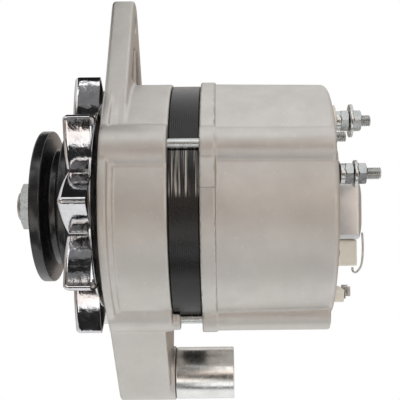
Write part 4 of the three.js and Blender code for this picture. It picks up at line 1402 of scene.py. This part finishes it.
@dataclass
class PivotBush:
    """The bright steel bush behind the foot."""

    shank: float = 10.0
    collar: float = 14.0
    bore: float = 5.25
    start: float = 0.5
    step: float = 30.8

    def build(self) -> None:
        """Builds the bush and dresses it."""
        end = span("pivot_bush", 0)[1]
        y, z = middle("pivot_bush")
        profile = [(self.start, self.bore), (self.start, self.shank), (self.step, self.shank),
                   (self.step, self.collar), (end, self.collar), (end, self.bore)]
        shape = turned(rounded(profile, 0.6), 128).moved(0, y, z)
        make_piece("pivot_bush_turned", shape, BUSH_ZINC, Body.HOUSING, ["pivot_bush"])


@dataclass
class ThroughBolts:
    """Four long bolts that clamp the brackets on the core."""

    radius: float = 2.5
    head: float = 4.2
    head_height: float = 4.0
    socket: float = 4.0
    socket_floor: float = 1.6

    def build(self) -> None:
        """Builds the bolts and dresses them."""
        for i in range(1, 5):
            node = f"through_bolt_{i}"
            x0, x1 = span(node, 0)
            y, z = middle(node)
            seat = x1 - self.head_height
            hexed = self.socket / 2 / math.cos(math.pi / 6)
            profile = [(x0, 0), (x0, self.radius - 0.5), (x0 + 0.5, self.radius), (seat, self.radius),
                       (seat, self.head - 0.2), (seat + 0.3, self.head), (x1 - 0.6, self.head),
                       (x1, self.head - 0.6), (x1, hexed + 0.1), (x1 - 0.1, hexed),
                       (seat + self.socket_floor, hexed), (seat + self.socket_floor, 0)]
            shape = turned(profile, 48, self.socket_form).moved(0, y, z)
            make_piece(f"through_bolt_{i}_plated", shape, ZINC, Body.HOUSING, [node])

    def socket_form(self, x: float, angles: Array, radii: Array) -> Array:
        """Gives the socket in the head six flats.

        Args:
            x: Place along the axis; not used.
            angles: Angles round it.
            radii: The profile's radius at each angle.

        Returns:
            The new radii.
        """
        corner = self.socket / 2 / math.cos(math.pi / 6)
        flat = (self.socket / 2) / np.cos(angles % (math.pi / 3) - math.pi / 6)
        return np.where(abs(radii[0] - corner) < 0.01, flat, radii)


@dataclass
class Terminals:
    """The three studs on the back with their insulators, nuts and washers."""

    stud: float = 3.0
    bore: float = 3.3
    sleeve: float = 4.3
    pitch: float = 1.0
    flats: float = 10.0
    pads: dict = field(default_factory=lambda: {"b_plus": 2.6, "d_plus": 2.4, "w": 0.0})
    sleeve_start: float = 107.8
    flange_start: float = 111.8
    bare_end: float = 5.0

    def build(self) -> None:
        """Builds each terminal's pieces and dresses them."""
        for name, insulator in (("b_plus", CREAM), ("d_plus", RUBBER), ("w", CREAM)):
            y, z = middle(f"{name}_stud")
            start, tip = span(f"{name}_stud", 0)
            bare = self.flange_start + self.bare_end - start
            stud = threaded_bar(start, tip, self.stud, self.pitch, bare).moved(0, y, z)
            make_piece(f"{name}_stud_threaded", stud, ZINC, Body.HOUSING, [f"{name}_stud"])
            y0, y1 = span(f"{name}_insulator", 1)
            flange = (y1 - y0) / 2
            end = span(f"{name}_insulator", 0)[1] - self.pads[name]
            profile = [(self.sleeve_start, self.bore), (self.sleeve_start, self.sleeve),
                       (self.flange_start, self.sleeve), (self.flange_start, flange), (end, flange),
                       (end, self.bore)]
            shape = turned(rounded(profile, 0.5), 64).moved(0, y, z)
            make_piece(f"{name}_insulator_moulded", shape, insulator, Body.HOUSING, [f"{name}_insulator"])
        for name in ("b_plus", "d_plus"):
            y, z = middle(f"{name}_stud")
            for part in ("inner_nut", "outer_nut"):
                node = f"{name}_{part}"
                x0, x1 = span(node, 0)
                shape = nut_shape(x0, x1 - x0, self.flats, self.bore)
                if part == "inner_nut" and self.pads[name]:
                    below = x0 - self.pads[name]
                    outer = self.flats / 2
                    ring = [(below, self.bore), (below, outer), (x0, outer), (x0, self.bore)]
                    shape = shape.plus(turned(rounded(ring, 0.3), 64))
                shape = shape.moved(0, y, z)
                make_piece(f"{node}_hex", shape, ZINC, Body.HOUSING, [node])
            node = f"{name}_washer"
            x0, x1 = span(node, 0)
            y0, y1 = span(node, 1)
            outer = (y1 - y0) / 2
            ring = rounded([(x0, self.bore), (x0, outer), (x1, outer), (x1, self.bore)], 0.3)
            make_piece(f"{node}_flat", turned(ring, 64).moved(0, y, z), ZINC, Body.HOUSING, [node])


@dataclass
class RegulatorUnit:
    """The regulator and brush holder: a cream moulding with a metal cover, a lead and two screws."""

    face: float = 111.8
    pad_half: float = 14.5
    bridge: tuple[float, float, float] = (23.5, -29.5, -20.5)
    block_half: float = 10.0
    pad_end: float = 115.2
    block_end: float = 127.1
    arm: tuple[float, float, float, float] = (65.15, 7.0, -32.0, -23.0)
    brush_half: float = 2.6
    chamber_end: float = -30.4
    skin: float = 1.2
    crown: float = 2.6
    lead_radius: float = 0.6
    lead_side: float = -5.0
    screw: float = 2.0
    screw_head: float = 4.0
    screw_head_height: float = 2.4
    screw_dome: float = 1.6

    def build(self) -> None:
        """Builds the unit's pieces and dresses them."""
        self.holder()
        self.cover()
        self.lead()
        for i in (1, 2):
            self.machine_screw(f"regulator_screw_{i}")

    def holder(self) -> None:
        """The moulding: pad, bridge to the screws, raised block and the arm with two chambers."""
        spans = [span("brush_holder", axis) for axis in range(3)]
        low, high = [pair[0] - 1.2 for pair in spans], [pair[1] + 1.2 for pair in spans]
        shape = skin_of(self.holder_solid, low, high, 0.7)
        make_piece("brush_holder_moulding", shape, CREAM, Body.HOUSING, ["brush_holder"])

    def holder_solid(self, x: Array, y: Array, z: Array) -> Array:
        """Distance to the moulding.

        Args:
            x: Place along the rotor axis.
            y: Place across.
            z: Height.

        Returns:
            The distance, negative inside.
        """
        cover_z = span("regulator_cover", 2)
        bottom = span("brush_holder", 2)[0]

        def plate(half: float, z0: float, z1: float, x0: float, x1: float, radius: float) -> Array:
            """Distance to a flat block, its corners rounded in the Y-Z plane."""
            flat = meet(np.abs(y) - half, between(z, z0, z1), radius)
            return meet(flat, between(x, x0, x1), 0.4)

        top, behind = cover_z[0] - 0.3, self.pad_end - 1
        solid = plate(self.pad_half, bottom, cover_z[1] + 1, self.face, self.pad_end, 3.0)
        solid = fuse(solid, plate(*self.bridge, self.face, behind, 4.0), 0.4)
        solid = fuse(solid, plate(self.block_half, bottom, top, behind, self.block_end, 1.6), 0.4)
        start, half, low, high = self.arm
        solid = np.minimum(solid, plate(half, low, high, start, self.face + 1, 0.6))
        for i in (1, 2):
            x0, x1 = span(f"brush_{i}", 0)
            reach = (x1 - x0) / 2 + 0.3
            chamber = np.maximum(np.abs(x - (x0 + x1) / 2) - reach, np.abs(y) - self.brush_half)
            solid = carve(solid, np.maximum(chamber, self.chamber_end - z), 0.15)
        for i in (1, 2):
            sy, sz = middle(f"regulator_screw_{i}")
            solid = carve(solid, disc(y, z, sy, sz, self.screw + 0.3), 0.2)
        return solid

    def cover(self) -> None:
        """The pressed cover with its domed back, hollow underneath."""
        spans = [span("regulator_cover", axis) for axis in range(3)]
        low = [pair[0] for pair in spans]
        high = [pair[1] for pair in spans]
        outer = rounded_block(low, high, 3.0, self.crown)
        inset = self.skin
        floor = [low[0] - 0.01, low[1] + inset, low[2] + inset]
        roof = [high[0] - inset, high[1] - inset, high[2] - inset]
        inner = rounded_block(floor, roof, 2.2, self.crown)
        count = 32
        hollow = Shape(inner.points, [tuple(reversed(f)) for f in inner.faces[1:]])
        shell = Shape(outer.points, outer.faces[1:]).plus(hollow)
        start = len(outer.points)
        for i in range(count):
            j = (i + 1) % count
            shell.faces.append((j, i, start + i, start + j))
        make_piece("regulator_cover_pressed", shell, SHEET, Body.HOUSING, ["regulator_cover"], 40)

    def lead(self) -> None:
        """The thin lead that loops out over the cover and back up to the moulding."""
        crown = span("regulator_cover", 0)[1]
        bottom = span("brush_holder", 2)[0]
        route = [(crown - 0.3, -15.6), (crown - 0.1, -19), (crown, -24), (crown - 0.4, -30),
                 (crown - 1.4, -34), (crown - 3.8, -36.6), (crown - 5.4, -35.8), (crown - 5.6, bottom - 1)]
        points = np.array([(x, self.lead_side, z) for x, z in route])
        shape = tube_along(points, self.lead_radius)
        make_piece("regulator_lead_braid", shape, BRAID, Body.HOUSING, ["regulator_lead"])

    def machine_screw(self, node: str) -> None:
        """Builds a machine screw with a domed head.

        Args:
            node: The CAD node that it replaces.
        """
        x0, x1 = span(node, 0)
        y, z = middle(node)
        seat = x1 - self.screw_head_height
        dome = [(x1 - self.screw_dome * (1 - math.cos(t)), self.screw_head * math.sin(t))
                for t in np.linspace(math.pi / 2, 0, 7)]
        profile = [(x0, 0), (x0, self.screw), (seat, self.screw), (seat, self.screw_head)]
        profile += [*dome[:-1], (x1, 0)]
        make_piece(f"{node}_domed", turned(profile, 48).moved(0, y, z), ZINC, Body.HOUSING, [node])


@dataclass
class SpadeConnector:
    """Two spade blades on one plate, on a cream block low on the back."""

    sides: tuple[float, float] = (-24.5, -15.5)
    thickness: float = 0.8
    strip: float = 4.0

    def build(self) -> None:
        """Builds the block and the blades and dresses them."""
        spans = [span("terminal_block", axis) for axis in range(3)]
        block = rounded_block([p[0] for p in spans], [p[1] for p in spans], 1.2)
        make_piece("terminal_block_moulded", block, CREAM, Body.HOUSING, ["terminal_block"])
        spans = [span("spade_terminal", axis) for axis in range(3)]
        start, tip = spans[0]
        y0, y1 = spans[1]
        low = spans[2][0]
        plate = rounded_block([start, y0, low], [start + self.thickness, y1, low + self.strip], 0.3)
        half, top = self.thickness / 2, spans[2][1]
        blades = [rounded_block([start + 0.1, side - half, low + 1], [tip, side + half, top], 0.3)
                  for side in self.sides]
        make_piece("spade_terminal_pressed", plate.plus(*blades), ZINC, Body.HOUSING, ["spade_terminal"])


@dataclass
class InnerWorks:
    """Everything inside the housing, kept from the CAD and given its finish."""

    finishes: dict[str, Finish] = field(default_factory=lambda: {
        "stator_winding": COPPER, "field_coil": COPPER, "front_claw_pole": FORGED,
        "rear_claw_pole": FORGED, "slip_ring_sleeve": BLACK_PLASTIC, "slip_ring_1": RING_COPPER,
        "slip_ring_2": RING_COPPER, "front_bearing_outer_race": GROUND,
        "front_bearing_inner_race": GROUND, "front_ball_cage": GROUND,
        "rear_bearing_outer_race": GROUND, "rear_bearing_inner_race": GROUND,
        "rear_ball_cage": GROUND, "bearing_retainer": ZINC, "fan_spacer": GROUND,
        "positive_heat_sink": SHEET, "negative_heat_sink": SHEET, "positive_diode_1": GROUND,
        "positive_diode_2": GROUND, "positive_diode_3": GROUND, "negative_diode_1": GROUND,
        "negative_diode_2": GROUND, "negative_diode_3": GROUND, "exciter_diode_board": BLACK_PLASTIC,
        "brush_1": CARBON, "brush_2": CARBON, "brush_spring_1": GROUND, "brush_spring_2": GROUND,
    })

    def build(self) -> None:
        """Dresses each kept node."""
        for node, finish in self.finishes.items():
            dress_node(node, finish)


@dataclass
class Studio:
    """White surroundings, soft lights, one black card and the camera; its places are in metres."""

    place: tuple[float, float, float] = (0.0587, -0.4504, 0.0931)
    lens: float = 73.0
    shift: tuple[float, float] = (-0.0645, 0.0113)
    lean: float = 0.6
    horizon: float = 0.37
    overhead: float = 0.95
    panel_scale: float = 3.0
    panel_dark: float = 0.02
    panel_light: float = 1.5
    horizon_tone: tuple[float, float, float, float] = (1.0, 0.86, 0.76, 1.0)
    flag_size: tuple[float, float] = (0.1, 0.34)
    flag_place: tuple[float, float, float] = (-0.065, 0.06, 0.3)

    def build(self) -> None:
        """Builds the lights, the surroundings and the camera."""
        scene = bpy.context.scene
        scene.view_settings.view_transform = "Standard"
        scene.view_settings.look = "None"
        self.flag()
        self.surroundings(scene)
        self.light("key_from_above", (0.02, -0.35, 0.62), (0.06, 0.0, 0.09), 0.5, 0.16)
        self.light("fill_from_camera_side", (-0.3, -0.65, 0.2), (0.05, 0.0, 0.09), 0.4, 0.1)
        camera = bpy.data.cameras.new("camera")
        camera.lens = self.lens
        camera.shift_x, camera.shift_y = self.shift
        camera.clip_start = 0.01
        obj = bpy.data.objects.new("camera", camera)
        obj.location = self.place
        obj.rotation_euler = (math.pi / 2, math.radians(self.lean), 0.0)
        scene.collection.objects.link(obj)
        scene.camera = obj

    def flag(self) -> None:
        """A small black card above the fan, which gives its plated facets something dark to show."""
        x, y, z = self.flag_place
        across, deep = self.flag_size[0] / 2, self.flag_size[1] / 2
        corners = [(x - across, y - deep, z), (x + across, y - deep, z),
                   (x + across, y + deep, z), (x - across, y + deep, z)]
        mesh = bpy.data.meshes.new("black_flag")
        mesh.from_pydata(corners, [], [(0, 1, 2, 3)])
        mesh.materials.append(FLAG.make())
        obj = bpy.data.objects.new("black_flag", mesh)
        bpy.context.scene.collection.objects.link(obj)
        obj.visible_camera = False
        obj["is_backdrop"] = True

    def surroundings(self, scene: bpy.types.Scene) -> None:
        """White to the camera; a studio of white panels and dark gaps to everything else.

        Args:
            scene: The scene that gets the world.
        """
        world = bpy.data.worlds.new("studio")
        scene.world = world
        world.use_nodes = True
        tree = world.node_tree
        tree.nodes.clear()
        direction = add_node(tree, "ShaderNodeTexCoord").outputs["Generated"]
        axes = add_node(tree, "ShaderNodeSeparateXYZ", {}, {0: direction})
        steep = add_node(tree, "ShaderNodeMath", {"operation": "ABSOLUTE"}, {0: axes.outputs["Z"]})
        limits = {"From Min": 0.1, "From Max": 0.75, "To Min": self.horizon, "To Max": self.overhead}
        level = add_node(tree, "ShaderNodeMapRange", limits, {"Value": steep.outputs["Value"]})
        upright = add_node(tree, "ShaderNodeMapping", {"Scale": (1.0, 1.0, 0.7)}, {"Vector": direction})
        settings = {"Scale": self.panel_scale, "Detail": 1.0}
        noise = add_node(tree, "ShaderNodeTexNoise", settings, {"Vector": upright.outputs["Vector"]})
        limits = {"From Min": 0.53, "From Max": 0.57, "To Min": self.panel_dark, "To Max": self.panel_light}
        panels = add_node(tree, "ShaderNodeMapRange", limits, {"Value": noise.outputs["Fac"]})
        limits = {"From Min": -0.3, "From Max": -0.45}
        ahead = add_node(tree, "ShaderNodeMapRange", limits, {"Value": axes.outputs["Y"]})
        links = {0: ahead.outputs["Result"], 2: level.outputs["Result"], 3: panels.outputs["Result"]}
        lit = add_node(tree, "ShaderNodeMix", {"data_type": "FLOAT"}, links)
        limits = {"From Min": 0.15, "From Max": 0.6}
        high = add_node(tree, "ShaderNodeMapRange", limits, {"Value": steep.outputs["Value"]})
        tones = {"data_type": "RGBA", MIX_A: self.horizon_tone, MIX_B: (1.0, 1.0, 1.0, 1.0)}
        tint = add_node(tree, "ShaderNodeMix", tones, {MIX_FACTOR: high.outputs["Result"]})
        links = {"Color": tint.outputs[MIX_OUT], "Strength": lit.outputs[0]}
        shade = add_node(tree, "ShaderNodeBackground", {}, links)
        white = add_node(tree, "ShaderNodeBackground", {"Color": (1.0, 1.0, 1.0, 1.0)})
        ray = add_node(tree, "ShaderNodeLightPath").outputs["Is Camera Ray"]
        links = {0: ray, 1: shade.outputs["Background"], 2: white.outputs["Background"]}
        both = add_node(tree, "ShaderNodeMixShader", {}, links)
        add_node(tree, "ShaderNodeOutputWorld", {}, {"Surface": both.outputs["Shader"]})

    def light(self, name: str, place: tuple, target: tuple, size: float, power: float) -> None:
        """Adds a soft square light that faces a point.

        Args:
            name: Its name.
            place: Where it stands, in metres.
            target: What it faces.
            size: Its side, in metres.
            power: In watts.
        """
        data = bpy.data.lights.new(name, "AREA")
        data.size = size
        data.energy = power
        obj = bpy.data.objects.new(name, data)
        obj.location = place
        way = np.array(target) - np.array(place)
        flat = math.hypot(way[0], way[1])
        obj.rotation_euler = (math.atan2(flat, -way[2]), 0.0, math.atan2(way[1], way[0]) - math.pi / 2)
        bpy.context.scene.collection.objects.link(obj)


def plain(box: tuple) -> list[list[float]]:
    """Corners of a box as plain lists."""
    return [[float(v) for v in corner] for corner in box]


def main() -> None:
    """Builds every sub-assembly and the studio."""
    assemblies = [FrontBracket(), RearBracket(), StatorPack(), FanPressing(), BeltPulley(), ShaftNose(),
                  PivotBush(), ThroughBolts(), Terminals(), RegulatorUnit(), SpadeConnector(), InnerWorks()]
    for assembly in assemblies:
        LOG.info("building %s", type(assembly).__name__)
        assembly.build()
    Studio().build()
    {"cad": plain(CAD_BOX), "visual": plain(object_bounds())}


if __name__ == "__main__":
    main()
